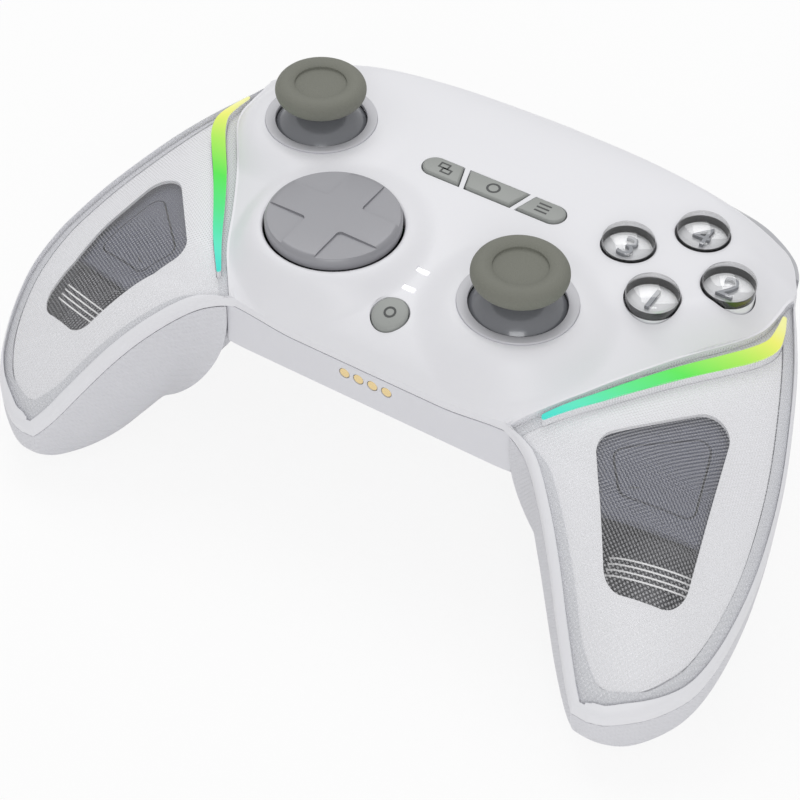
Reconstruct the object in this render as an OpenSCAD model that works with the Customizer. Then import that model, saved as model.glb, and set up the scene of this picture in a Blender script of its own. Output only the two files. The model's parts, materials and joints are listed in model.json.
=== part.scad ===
// Gamepad controller: shells, clear grip covers, sticks, buttons, triggers and the pieces inside.
// X runs to the right, Y away from the player, Z up. The face of the pad is level.

/* [Overall size] */
// Width over both grips
body_w = 156; // [148:1:164]
// Reach of the grip tips toward the player, from the control origin
grip_reach = 53; // [51:0.5:55]
// Rear edge of the face, from the control origin
rear_reach = 44.5; // [43.5:0.25:46]
// Flat front wall, from the control origin
front_reach = 26.6; // [26:0.2:27.4]
// Height of the face above the table
face_h = 50; // [49:0.25:52]
// Wall of the shells
wall = 2; // [1.7:0.1:2.3]
// Open seam between two shells
seam_gap = 0.25; // [0.2:0.05:0.4]

/* [Grips] */
// Thickness of a clear grip cover
cover_t = 1.4; // [1.2:0.1:1.6]
// Thickness of a white liner
liner_t = 1; // [0.8:0.1:1.3]
// Width of the white rim beside a cover
rim_w = 1.5; // [1.3:0.1:1.8]
// Height of the white rim above the seam
rim_t = 2.2; // [1.8:0.1:2.6]
// Depth of the ledge under a cover beside the face
ledge_t = 5; // [4.6:0.1:5.4]
// Depth of the lip under the outer edge of a cover
outer_lip = 3.7; // [3.5:0.1:4]
// Level of the light strip below the face
strip_drop = 6; // [5.5:0.1:6.5]
// Rate at which the grips fall toward their tips
grip_fall = 0.0252; // [0.024:0.0002:0.0264]
// Radius of the wide end of the light strip
strip_r = 1.4; // [1.2:0.1:1.6]
// Corner radius of a window
window_r = 3.4; // [2.8:0.1:4]

/* [Sticks] */
// Sideways place of the left stick and of the face buttons
outer_x = 38.9; // [38.2:0.1:39.6]
// Rearward place of the left stick and of the face buttons
outer_y = 17.5; // [17:0.1:18]
// Sideways place of the right stick and of the direction pad
inner_x = 19.6; // [19.2:0.1:20.2]
// Forward place of the right stick and of the direction pad
inner_y = 7.1; // [6.6:0.1:7.6]
// Radius of a stick cap
cap_r = 8.85; // [8.4:0.05:9.3]
// Height of the widest part of a cap above the face
cap_h = 6.8; // [6.4:0.1:7.4]
// Outer radius of a stick ring
ring_r = 11; // [10.8:0.1:11.4]
// Inner radius of a stick ring
ring_in = 9; // [8.9:0.1:9.3]
// Radius of the dome skirt about the tilt centre
dome_r = 11.3; // [11.1:0.1:11.4]
// Thickness of the dome skirt
dome_t = 1.9; // [1.6:0.1:1.9]
// Depth of the tilt centre below the face
tilt_z = 8; // [7.8:0.1:8.4]
// Tilt of a stick each way
stick_tilt = 16; // [12:1:16]

/* [Buttons] */
// Radius of the direction pad
dpad_r = 12.8; // [12.4:0.1:13]
// Top of the direction pad above the face
dpad_top = 2.1; // [1.6:0.1:2.6]
// Radius of a face button
face_r = 4.9; // [4.6:0.1:5]
// Half width of an arm of the direction pad
dpad_arm = 3.7; // [3.2:0.1:4.2]
// Depth of the quarters of the direction pad below its arms
dpad_step = 0.5; // [0.3:0.1:0.8]
// Top of a face button above the face
face_top = 2.5; // [2:0.1:3]
// Distance of a face button from the middle of its group
face_step = 10.2; // [10:0.1:10.5]
// Radius of the macro button
macro_r = 3.35; // [3:0.05:3.6]
// Length of the menu bar
bar_len = 30.6; // [29.6:0.2:32]
// Depth of the menu bar
bar_w = 4.9; // [4.5:0.1:5.2]
// Gap between two menu-bar buttons
bar_gap = 1.5; // [1.3:0.1:1.8]
// Gap round a button
button_gap = 0.25; // [0.2:0.05:0.35]
// Travel of a face button
face_travel = 1.2; // [0.8:0.1:1.3]

/* [Rear controls] */
// Finger face of a trigger, from the control origin
rear_end = 48; // [47.5:0.25:49]
// Pivot of a trigger, from the control origin
pivot_y = 37; // [36.5:0.1:37.5]
// Pivot of a trigger below the face
pivot_z = 17.5; // [17:0.1:18]
// Radius of a trigger pin
pin_r = 1.5; // [1.3:0.05:1.6]
// Running clearance of pins in their bores
run_gap = 0.05; // [0.03:0.01:0.08]

/* [Inside] */
// Level of the top of the main board below the face
board_z = 17; // [16.8:0.1:17.4]
// Thickness of the main board
board_t = 1.6; // [1.2:0.1:1.8]
// Radius of a rumble motor
motor_r = 6.5; // [6:0.1:7]
// Length of a rumble motor
motor_len = 13; // [12:0.5:14]
// Downward slope of the motor and of the chassis plate
motor_tilt = 33; // [30:1:36]

/* [Hidden] */
$fn = 64;
half_w = body_w / 2;
wide = half_w / 78;
front_y = -front_reach;
shift_y = (grip_reach - rear_end) / 2;
grip_end = 28;
cover_end = 26.4;
bar_y = 17.7;
macro_y = -18.5;
macro_z = -4;
button_low = -6.8;
pad_z = -0.3;
board_low = -board_z - board_t;
left = -1;
right = 1;

// Plain helpers
function clamp(v, a, b) = min(max(v, a), b);
function mix(a, b, t) = a + (b - a) * t;
function ease(t) = let(c = clamp(t, 0, 1)) c * c * (3 - 2 * c);
function seg(y, t, i = 0) = (i >= len(t) - 2 || y <= t[i + 1][0]) ? i : seg(y, t, i + 1);
function slope(t, i) = let(a = t[max(i - 1, 0)], b = t[min(i + 1, len(t) - 1)])
  (b[1] - a[1]) / (b[0] - a[0]);
// Smooth curve through the points of a table
function curve(y, t) = let(i = seg(y, t), p = t[i], q = t[i + 1], h = q[0] - p[0],
  s = clamp((y - p[0]) / h, 0, 1))
  (2 * s ^ 3 - 3 * s ^ 2 + 1) * p[1] + (s ^ 3 - 2 * s ^ 2 + s) * h * slope(t, i)
  + (3 * s ^ 2 - 2 * s ^ 3) * q[1] + (s ^ 3 - s ^ 2) * h * slope(t, i + 1);
function reach(f) = f < 0 ? f * grip_reach : f * rear_reach;

// Plan lines of the right half, X against Y
outer_line = [for (p = [[-1, 0.795], [-0.988, 0.827], [-0.96, 0.862], [-0.915, 0.903],
  [-0.85, 0.941], [-0.774, 0.972], [-0.68, 0.992], [-0.566, 1], [-0.453, 0.996], [-0.302, 0.978],
  [-0.132, 0.947], [0.067, 0.901], [0.303, 0.846], [0.472, 0.799], [0.607, 0.758], [0.697, 0.731],
  [0.787, 0.7], [0.854, 0.658], [0.899, 0.588], [0.935, 0.49], [0.966, 0.372], [0.989, 0.215],
  [1, 0.09]]) [reach(p[0]), p[1] * half_w]];
inner_line = [for (p = [[-1, 0.756], [-0.974, 0.736], [-0.94, 0.7115], [-0.857, 0.654],
  [-0.751, 0.586], [-0.651, 0.518], [-0.56, 0.449]]) [reach(p[0]), p[1] * half_w]];
rim_line = concat(inner_line, [[front_y - 1, 0.4026 * half_w], [front_y, 0.367 * half_w]]);
border_line = [for (p = [[front_y, 0.376], [-19, 0.451], [-8.4, 0.53], [1.9, 0.613],
  [12.2, 0.708], [16.6, 0.733], [21, 0.739], [25, 0.741], [grip_end, 0.75]]) [p[0], p[1] * half_w]];
split_line = [for (p = [[front_y, 0.395], [-20, 0.436], [-10, 0.551], [0, 0.654], [8, 0.731],
  [15, 0.788], [19, 0.812]]) [p[0], p[1] * half_w]];
x_out = function(y) curve(y, outer_line);
border = function(y) y > grip_end ? x_out(y) : min(curve(y, border_line), x_out(y));
function grip_in(y) = y < front_y ? curve(y, rim_line) : border(y);
function divide(y) = y > 19 ? x_out(y) : min(curve(y, split_line), x_out(y));
function across(x, y) = let(w = x_out(y) - grip_in(y)) w < 0.5 ? 0 : clamp((x - grip_in(y)) / w, 0, 1);

// Heights of the top surfaces
face_mid = [[front_y, -10.6], [front_y + 2, -7.7], [front_y + 4.6, -5.7], [-18.5, -4.2],
  [-12, -3.1], [-7, -2.5], [5, -1.5], [18, -0.9], [31, -0.6], [rear_reach - 6.5, -0.7],
  [rear_reach - 2.5, -1.3], [rear_reach, -2.5]];
outer_fall = [[-53, 0.3], [-50, 3], [-47, 6.6], [-44, 9.8], [-40, 13], [-35, 14.6], [-30, 14.8], [-21, 14],
  [-6, 9.2], [8, 5], [20, 2.8], [28, 2]];
function sheet_in(y) = -strip_drop - grip_fall * max(0, -16.5 - y) ^ 2 + 0.09 * max(0, -48.5 - y) ^ 2;
sheet = function(x, y) sheet_in(y) - curve(y, outer_fall) * across(x, y) ^ 2.2;
function flat_at(z, x, y, cx, cy, r0, r1) = mix(z, pad_z, ease((r1 - norm([x - cx, y - cy])) / (r1 - r0)));
function face_base(x, y) = mix(curve(y, face_mid), sheet_in(y),
  clamp(1 - (border(y) - abs(x)) / 16, 0, 1) ^ 2);
face = function(x, y) flat_at(flat_at(flat_at(flat_at(face_base(x, y),
  x, y, -outer_x, outer_y, ring_r + 1, ring_r + 8),
  x, y, outer_x, outer_y, 9, 18),
  x, y, -inner_x, -inner_y, dpad_r + 1, dpad_r + 7),
  x, y, inner_x, -inner_y, ring_r + 0.6, ring_r + 8);

// Seam between the front shell and the pieces behind it
function lip(y) = mix(rim_t, ledge_t, ease((y - front_y) / 3));
function split_mid(y) = curve(y, [[front_y, -12.2], [0, -11.2], [rear_reach, -11]]);
function tip_lip(y) = mix(rim_t, outer_lip, ease((y + 52) / 14));
function seam(x, y) = mix(sheet_in(y) - lip(y), sheet(x_out(y), y) - tip_lip(y), across(x, y));
split = function(x, y) let(a = abs(x), b = border(y)) a >= b || y < front_y ? seam(a, y)
  : mix(split_mid(y), sheet_in(y) - lip(y), ease(1 - (b - a) / 14));

// Extra gap under the front shell where no seam is seen
function drop(x, y) = 0.8 * ease((y - front_y) / 3) * ease((19 - y) / 6) * clamp(1.4 - 2 * across(x, y), 0, 1)
  + 0.1 * ease((x - 24) / 4) * ease((6 + front_y - y) / 6) * ease((y - front_y + 3) / 3);

// Undersides
belly_mid = [[front_y, -20.7], [front_y + 4.6, -24], [-12, -29], [0, -31.5], [18, -34], [29, -36],
  [36, -35], [rear_reach, -26]];
belly = function(x, y) curve(y, belly_mid) + 0.012 * max(0, abs(x) - 26) ^ 2;
grip_floor = [[-53, -44.5], [-51.5, -47], [-49, -49.4], [-46, -50.4], [-42, -50.6], [-38, -50.2], [-34, -49],
  [-30, -47.2], [-24, -44.6], [-15, -40.2], [-5, -36.4], [8, -32.6], [17, -29.6], [22, -28]];
inner_lift = [[-48, 0], [-42, 0], [-38, 2.5], [-34, 7.5], [-30, 12.5], [-26.6, 15], [-20, 13], [-12, 8], [0, 4], [22, 2]];
function back_in(y) = y < front_y ? grip_in(y) : divide(y);
function bulge(u, c) = let(e = u < 0.5 ? 2.7 : 3.2, s = (1 - abs(2 * u - 1) ^ e) ^ (1 / e)) u < 0.5 ? c + (1 - c) * s : s;
function floor_at(u, y) = curve(y, grip_floor) + curve(y, inner_lift) * max(0, 1 - u / 0.45) ^ 1.5;
grip_low = function(x, y) let(a = back_in(y), b = x_out(y), u = clamp((x - a) / max(b - a, 0.5), 0, 1),
  c = clamp((y - front_y) / 6, 0, 1) * (split(a, y) - belly(a, y)) / (split(a, y) - floor_at(0, y)),
  z = mix(split(a, y), split(b, y), u))
  max(z - (z - floor_at(u, y)) * bulge(u, c), -face_h);

// Grid solid between an upper and a lower surface: each row runs across X at one Y
module deck(ys, xa, xb, top, low, n, rounded = false) {
  m = len(ys);
  c = n + 1;
  k = m * c;
  ts = [for (i = [0:n]) rounded ? (1 - cos(180 * i / n)) / 2 : i / n];
  flat = [for (y = ys) for (t = ts) [mix(xa(y), xb(y), t), y]];
  up = [for (p = flat) [p[0], p[1], top(p[0], p[1])]];
  dn = [for (i = [0:k - 1]) [up[i][0], up[i][1], min(low(up[i][0], up[i][1]), up[i][2] - 0.3)]];
  cells = [for (j = [0:m - 2]) for (i = [0:n - 1]) j * c + i];
  tops = [for (a = cells) for (f = [[a, a + c, a + c + 1], [a, a + c + 1, a + 1]]) f];
  lows = [for (f = tops) [f[2] + k, f[1] + k, f[0] + k]];
  ends = concat(
    [for (j = [0:m - 2]) [(j + 1) * c, j * c]],
    [for (j = [0:m - 2]) [j * c + n, (j + 1) * c + n]],
    [for (i = [0:n - 1]) [i, i + 1]],
    [for (i = [0:n - 1]) [k - n + i, k - n + i - 1]]);
  sides = [for (e = ends) for (f = [[e[0], e[1], e[1] + k], [e[0], e[1] + k, e[0] + k]]) f];
  polyhedron(concat(up, dn), concat(tops, lows, sides), convexity = 8);
}

// Rows of the decks
function rows(a, b, fs) = [for (f = fs) mix(a, b, f)];
body_fs = [0, 0.02, 0.05, 0.1, 0.16, 0.23, 0.31, 0.4, 0.5, 0.6, 0.7, 0.79, 0.86, 0.92, 0.96, 0.985, 1];
hollow_fs = [0, 0.06, 0.16, 0.3, 0.46, 0.62, 0.77, 0.88, 0.95, 1];
tip_fs = [0, 0.04, 0.12, 0.24, 0.42, 0.65, 0.9];
root_fs = [0, 0.06, 0.2, 0.38, 0.58, 0.78, 1];
function grip_rows(a, b) = concat(rows(a, front_y, tip_fs), rows(front_y, b, root_fs));

module place() translate([0, shift_y, face_h]) children();
module side(s) if (s < 0) mirror([1, 0, 0]) children(); else children();
module boss(x, y, r, z0, z1, n = 8) hull() {
  translate([x, y, z0]) cylinder(r = r, h = 0.2, $fn = n);
  translate([x, y, z1 - 0.2]) cylinder(r = r + 0.25, h = 0.2, $fn = n);
}

// Plan of the window and of the light strip on the right grip
window_pts = [[48.5, -21.2], [59, -8.9], [64.6, -32.9], [58.2, -34.9]];
strip_pts = [[34.5, -23.2, 0.32], [39.5, -16.6, 0.6], [44.9, -8.6, 0.8], [50.3, -1, 0.94], [55.6, 5.8, 1],
  [58.6, 10, 1], [60.3, 13.9, 0.86], [60.1, 17.6, 0.62], [59.3, 21, 0.3]];
module window_plan(grow) hull() for (p = window_pts)
  translate([p[0] * wide, p[1]]) circle(r = window_r + grow, $fn = 16);
module strip_bar(grow, z0, z1) for (i = [0:len(strip_pts) - 2]) hull() for (p = [strip_pts[i], strip_pts[i + 1]])
  translate([p[0] * wide, p[1], z0]) cylinder(r = strip_r * p[2] + grow, h = z1 - z0, $fn = 8);

// Shell screws: X and Y of each
screw_pts = [[25, -21.2], [-25, -21.2], [22, 35], [-22, 35]];
screw_join = -13;

// White front shell
module grip_frame() {
  difference() {
    union() {
      deck(grip_rows(-grip_reach, grip_end), function(y) grip_in(y) - (y < front_y ? 0 : 0.8), x_out,
        sheet, split, 6);
      deck(grip_rows(-grip_reach + wall + 0.8, grip_end - 2),
        function(y) grip_in(y) + mix(wall + 0.4 + 1.6 * ease((y - front_y + 6) / 4), -0.8, ramp(y - 2)),
        function(y) x_out(y) - wall - 0.5,
        function(x, y) sheet(x, y) - 1.2,
        function(x, y) max(sheet(x, y) - 5.4, y < front_y ? -90 : split(x, y)), 3);
    }
    deck(grip_rows(-grip_reach + rim_w, cover_end), cover_in, cover_out,
      function(x, y) sheet(x, y) + 3, function(x, y) sheet(x, y) - cover_t - 0.3, 6);
    deck(grip_rows(liner_low - 0.25, liner_high + 0.25), function(y) liner_in(y) - 0.25,
      function(y) liner_out(y) + 0.25, function(x, y) sheet(x, y) + 3,
      function(x, y) sheet(x, y) - cover_t - liner_t - 0.3, 6);
    deck(grip_rows(liner_low + 2.4, liner_high - 2.5), function(y) liner_in(y) + mix(1.8, 1.2, ramp(y)),
      function(y) max(liner_out(y) - 1.4, liner_in(y) + 2.4),
      function(x, y) sheet(x, y) + 3, function(x, y) sheet(x, y) - 16, 3);
  }
}
function ramp(y) = clamp((y - front_y + 2) / 2, 0, 1);
cover_in = function(y) grip_in(y) + mix(rim_w * 1.3, 0.5, ramp(y));
function inset_out(y, d) = min([for (t = [-1:0.25:1]) x_out(y + d * t) - d * sqrt(1 - t * t)]);
cover_out = function(y) max(inset_out(y, mix(rim_w, 0.7, ease((y + grip_reach - 3) / 8))), cover_in(y) + 0.4);
liner_low = -grip_reach + rim_w + 2.6;
liner_high = cover_end - 2.6;
liner_in = function(y) cover_in(y) + mix(2.6, 0.9, ramp(y));
liner_out = function(y) max(inset_out(y, 3), liner_in(y) + 0.6);
button_pts = [[outer_x, outer_y - face_step], [outer_x + face_step, outer_y],
  [outer_x - face_step, outer_y], [outer_x, outer_y + face_step]];
module front_shell() place() color("white") difference() {
  union() {
    difference() {
      union() {
        deck(rows(front_y, rear_reach, body_fs), function(y) -border(y), border, face, split, 22);
        for (s = [left, right]) side(s) grip_frame();
      }
      deck(rows(front_y + wall, rear_reach - wall, hollow_fs),
        function(y) -border(y) + wall, function(y) border(y) - wall,
        function(x, y) face(x, y) - wall, function(x, y) -20, 14);
      for (s = [left, right]) side(s)
        deck(rows(33, rear_reach + 6, [0, 0.3, 0.5, 0.65, 1]), function(y) bumper_x0 - 0.6, function(y) 60 * wide,
          function(x, y) bumper_top(x) + 0.4, function(x, y) -20, 6);
    }
    intersection() {
      union() {
        for (p = button_pts) boss(p[0], p[1], face_r + 1.7, button_low + 1.3, -0.5, 14);
        boss(0, macro_y, macro_r + 1.4, -9, -3);
        for (p = screw_pts) boss(p[0], p[1], 2.8, screw_join, -1);
      }
      deck(rows(front_y, rear_reach, body_fs), function(y) 0.6 - border(y), function(y) border(y) - 0.6,
        function(x, y) face(x, y) - 0.4, function(x, y) -30, 22);
    }
  }
  for (p = button_pts) translate([p[0], p[1], -20]) {
    cylinder(r = face_r + button_gap, h = 30, $fn = 24);
    cylinder(r = face_r + 1, h = 20 + button_low + 1.3, $fn = 16);
  }
  translate([0, macro_y, -20]) cylinder(r = macro_r + button_gap, h = 30, $fn = 24);
  for (p = [[-outer_x, outer_y], [inner_x, -inner_y]]) translate([p[0], p[1], -20])
    cylinder(r = ring_r + run_gap + 0.05, h = 30, $fn = 36);
  translate([-inner_x, -inner_y, -20]) cylinder(r = dpad_r + 0.6, h = 30, $fn = 36);
  translate([0, 0, -20]) linear_extrude(30) for (i = [-1:1]) bar_plan(i, button_gap);
  for (p = pipe_pts) translate([-1.35, p - 0.6, -20]) cube([2.7, 1.2, 30]);
  for (p = screw_pts) translate([p[0], p[1], screw_join - 1]) cylinder(r = 1.35, h = 7.5, $fn = 10);
}
pipe_pts = [-7.4, -12.1];

// Smooth centre of the rear shell
module rear_shell() place() color("whitesmoke") difference() {
  union() {
    difference() {
      deck(rows(front_y, rear_reach, body_fs), function(y) seam_gap - divide(y),
        function(y) divide(y) - seam_gap, function(x, y) split(x, y) - seam_gap - drop(abs(x), y), belly, 12, true);
      deck(rows(front_y + wall, rear_reach - wall, hollow_fs), function(y) wall + seam_gap - divide(y),
        function(y) divide(y) - wall - seam_gap, function(x, y) 5, function(x, y) belly(x, y) + wall, 8);
      for (s = [left, right]) side(s) translate([bumper_x0 - 0.6, 32.6, -50]) cube([40, 30, 60]);
    }
    for (p = screw_pts) boss(p[0], p[1], 2.8, belly(p[0], p[1]) + 1, screw_join - 0.1);
    for (p = board_posts) boss(p[0], p[1], 1.6, belly(p[0], p[1]) + 1, board_low - 0.05);
    for (p = battery_posts) boss(p[0], p[1], 2, belly(p[0], p[1]) + 1, -battery_z - 0.05);
  }
  for (p = screw_pts) {
    translate([p[0], p[1], -40]) cylinder(r = 1.45, h = 30, $fn = 10);
    translate([p[0], p[1], -40]) cylinder(r = 2.6, h = 40 - screw_seat, $fn = 12);
  }
  for (i = [-1.5:1.5]) translate([i * contact_step, front_y - 1, contact_z]) rotate([-90, 0, 0])
    cylinder(r = contact_r + 0.15, h = wall + 4, $fn = 12);
  translate([-4.8, rear_reach - wall - 2, usb_z - 1.9]) cube([9.6, 8, 3.8]);
  for (s = [left, right]) side(s) rear_button_hole();
}
battery_z = 28.6;
battery_posts = [[-16, 6], [16, 6], [-16, 23], [16, 23]];
screw_seat = 19;
board_posts = [[43, 6], [-43, 6], [12, -17], [-12, -17]];
contact_step = 3;
contact_r = 1;
contact_z = -15;
usb_z = -13.6;

// Textured backs of the grips
module rear_grip() difference() {
  union() {
    difference() {
      deck(grip_rows(-grip_reach, 17.8), function(y) y < front_y ? back_in(y) :
        min(back_in(y) + seam_gap, x_out(y) - 0.5), x_out,
        function(x, y) split(x, y) - seam_gap - drop(x, y), grip_low, 8, true);
      deck(grip_rows(-grip_reach + wall * 1.2, 12.5), function(y) back_in(y) + wall + 0.1,
        function(y) max(x_out(y) - wall - 0.4, back_in(y) + wall + 1.2),
        function(x, y) 5, function(x, y) grip_low(x, y) + wall, 6, true);
    }
    for (p = chassis_feet) boss(p[0], p[1], 2.6, grip_low(p[0], p[1]) + 1, foot_z);
    for (y = [-40, -32, -10, 0]) rib(y);
  }
}
module rib(y) hull() for (u = [0.35, 0.6]) let(x = mix(back_in(y), x_out(y), u))
  translate([x, y, grip_low(x, y) + 1]) cube([1, 1, wall + 1]);
module left_rear_grip() place() color("gainsboro") side(left) rear_grip();
module right_rear_grip() place() color("gainsboro") side(right) rear_grip();

// Clear covers of the grips
module grip_cover() difference() {
  deck(grip_rows(-grip_reach + rim_w + 0.4, cover_end - 0.3),
    function(y) cover_in(y) + 0.3,
    function(y) max(cover_out(y) - mix(0.7, 0.2, ease((y + grip_reach - 2) / 4)), cover_in(y) + 0.6),
    function(x, y) sheet(x, y) + 0.3, function(x, y) sheet(x, y) - cover_t, 6);
  strip_bar(0.1, -40, 20);
}
module left_grip_cover() place() color("lightblue", 0.4) side(left) grip_cover();
module right_grip_cover() place() color("lightblue", 0.4) side(right) grip_cover();

// White liners with the window and the slot of the light strip
module grip_liner() difference() {
  deck(grip_rows(liner_low, liner_high), liner_in, liner_out,
    function(x, y) sheet(x, y) - cover_t - 0.4, function(x, y) sheet(x, y) - cover_t - liner_t, 6);
  translate([0, 0, -60]) linear_extrude(80) window_plan(0);
  strip_bar(0.1, -40, 20);
}
module left_grip_liner() place() color("white") side(left) grip_liner();
module right_grip_liner() place() color("white") side(right) grip_liner();

// Glowing light guides in the slots of the covers and liners
module light_guide() intersection() {
  strip_bar(0, -30, 20);
  deck(grip_rows(-30, cover_end), function(y) cover_in(y) + 0.4, function(y) cover_out(y) - 0.4,
    function(x, y) sheet(x, y) + 0.2, function(x, y) sheet(x, y) - cover_t - liner_t, 10);
}
module left_light_guide() place() color("aquamarine") side(left) light_guide();
module right_light_guide() place() color("aquamarine") side(right) light_guide();

// Inner plate seen through a window, with the clip of the motor
motor_at = [61 * wide, -29, -28.5];
foot_z = -32;
chassis_feet = [[52 * wide, -22], [67 * wide, -14]];
module motor_axis() translate(motor_at) rotate([90 + motor_tilt, 0, 12]) children();
plate_in = [[-30.5, 51.5], [-20.5, 44], [-4, 60.4]];
plate_out = [[-30.5, 52.2], [-22.5, 69], [-12, 66.8], [-4, 61.2]];
function plate_z(x, y) = -16 - 0.4 * (x - 57 * wide) + 0.2 * (y + 18);
module chassis() difference() {
  union() {
    motor_axis() translate([0, 0, -motor_len / 2 + 0.5]) cylinder(r = motor_r + 1.6, h = 5);
    deck([-30.5, -22.5, -20.5, -12, -4], function(y) wide * lookup(y, plate_in),
      function(y) wide * lookup(y, plate_out),
      function(x, y) plate_z(x, y), function(x, y) plate_z(x, y) - 1.4, 1);
    for (p = chassis_feet) translate([p[0], p[1], foot_z + 0.05])
      cylinder(r = 2.2, h = plate_z(p[0], p[1]) - 0.75 - foot_z, $fn = 32);
  }
  motor_axis() translate([0, 0, -motor_len / 2 - 6]) cylinder(r = motor_r + 0.05, h = motor_len + 14);
}
module left_chassis() place() color("slategray") side(left) chassis();
module right_chassis() place() color("slategray") side(right) chassis();

// Rumble motors and their weights
module motor() motor_axis() {
  translate([0, 0, -motor_len / 2]) cylinder(r = motor_r, h = motor_len);
  translate([0, 0, motor_len / 2 - 0.1]) cylinder(r = 2.2, h = 0.9);
  translate([0, 0, motor_len / 2 - 1]) cylinder(r = 1, h = 6);
}
module left_motor() place() color("dimgray") side(left) motor();
module right_motor() place() color("dimgray") side(right) motor();
module motor_weight() motor_axis() translate([0, 0, motor_len / 2 + 1.2]) difference() {
  union() {
    cylinder(r = 2, h = 3.6);
    linear_extrude(3.6) intersection() {
      circle(r = motor_r - 0.9);
      translate([-motor_r, -motor_r]) square([2 * motor_r, motor_r]);
    }
  }
  translate([0, 0, -1]) cylinder(r = 1 + run_gap, h = 6);
}
module left_motor_weight() place() color("gray") side(left) motor_weight();
module right_motor_weight() place() color("gray") side(right) motor_weight();

// Sticks: ring, cap, stem with dome skirt, gimbal, press carriage and housing
module at_left_stick() translate([-outer_x, outer_y, 0]) children();
module at_right_stick() translate([inner_x, -inner_y, 0]) children();
module stick_ring() rotate_extrude() polygon([[ring_in + 0.5, -1.3], [ring_r, -1.3], [ring_r, 0.1],
  [ring_r - 0.4, 0.4], [ring_in + 0.9, 0.4], [ring_in, -0.2], [ring_in, -0.8]]);
module left_stick_ring() place() color("silver") at_left_stick() stick_ring();
module right_stick_ring() place() color("silver") at_right_stick() stick_ring();
cap_low = cap_h - 1.9;
cap_top = cap_h + 2.2;
module stick_cap() difference() {
  rotate_extrude() {
    translate([cap_r - 2.1, cap_h]) circle(r = 2.1);
    polygon([[0, cap_low], [cap_r - 2.6, cap_low - 0.2], [cap_r - 1.8, cap_h], [cap_r - 2.3, cap_h + 2],
      [cap_r - 3.6, cap_h + 1.4], [0, cap_h + 0.7]]);
  }
  translate([0, 0, cap_low - 1]) cylinder(r = 2.2, h = 3);
}
module left_stick_cap() place() color("gray") at_left_stick() stick_cap();
module right_stick_cap() place() color("gray") at_right_stick() stick_cap();
skirt_low = -tilt_z + dome_r * cos(58);
module stick_stem() {
  difference() {
    translate([0, 0, -tilt_z]) sphere(r = dome_r);
    translate([0, 0, -tilt_z]) sphere(r = dome_r - dome_t);
    translate([0, 0, -50 + skirt_low]) cube([100, 100, 100], center = true);
  }
  rotate_extrude() polygon([[0, -tilt_z - 1.4], [1.8, -tilt_z - 1.4], [1.8, 1], [5.2, 1],
    [4.8, 2.3], [3.7, 3.1], [3.2, cap_low - 0.8], [3.2, cap_low - 0.25], [2.15, cap_low - 0.25],
    [2.15, cap_low + 1.9], [0, cap_low + 1.9]]);
  translate([0, 0, -tilt_z]) rotate([90, 0, 0]) cylinder(r = 1.2, h = 10.6, center = true);
}
module left_stick_stem() place() color("dimgray") at_left_stick() stick_stem();
module right_stick_stem() place() color("dimgray") at_right_stick() stick_stem();
module stick_gimbal() translate([0, 0, -tilt_z]) difference() {
  union() {
    cylinder(r = 5.6, h = 2.8, center = true);
    rotate([0, 90, 0]) cylinder(r = 1.2, h = 16.4, center = true);
  }
  cylinder(r = 3.6, h = 8, center = true);
  rotate([90, 0, 0]) cylinder(r = 1.2 + run_gap, h = 20, center = true);
}
module left_stick_gimbal() place() color("lightgray") at_left_stick() stick_gimbal();
module right_stick_gimbal() place() color("lightgray") at_right_stick() stick_gimbal();
carriage_w = 17;
carriage_low = 4.2;
module stick_carriage() translate([0, 0, -tilt_z]) difference() {
  translate([-carriage_w / 2, -carriage_w / 2, -carriage_low]) cube([carriage_w, carriage_w, carriage_low + 2.1]);
  translate([-6.9, -6.9, 0.9 - carriage_low]) cube([13.8, 13.8, 10]);
  translate([0, 0, 0.9]) difference() {
    cylinder(r = 16, h = 4);
    translate([0, 0, -1]) cylinder(r = 8.85, h = 6);
  }
  rotate([0, 90, 0]) cylinder(r = 1.2 + run_gap, h = 30, center = true);
}
module left_stick_carriage() place() color("darkgray") at_left_stick() stick_carriage();
module right_stick_carriage() place() color("darkgray") at_right_stick() stick_carriage();
module stick_housing() difference() {
  translate([-carriage_w / 2 - 1.3, -carriage_w / 2 - 1.3, -board_z])
    cube([carriage_w + 2.6, carriage_w + 2.6, board_z - tilt_z - 1.8]);
  translate([-carriage_w / 2 - 0.15, -carriage_w / 2 - 0.15, -board_z + 1])
    cube([carriage_w + 0.3, carriage_w + 0.3, 20]);
}
module click_switch() translate([0, 0, -board_z + 0.9]) cylinder(r = 2.4, h = board_z - tilt_z - carriage_low - 1.9);
module left_stick_housing() place() color("dimgray") at_left_stick() {
  stick_housing();
  click_switch();
}
module right_stick_housing() place() color("dimgray") at_right_stick() {
  stick_housing();
  click_switch();
}

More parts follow.
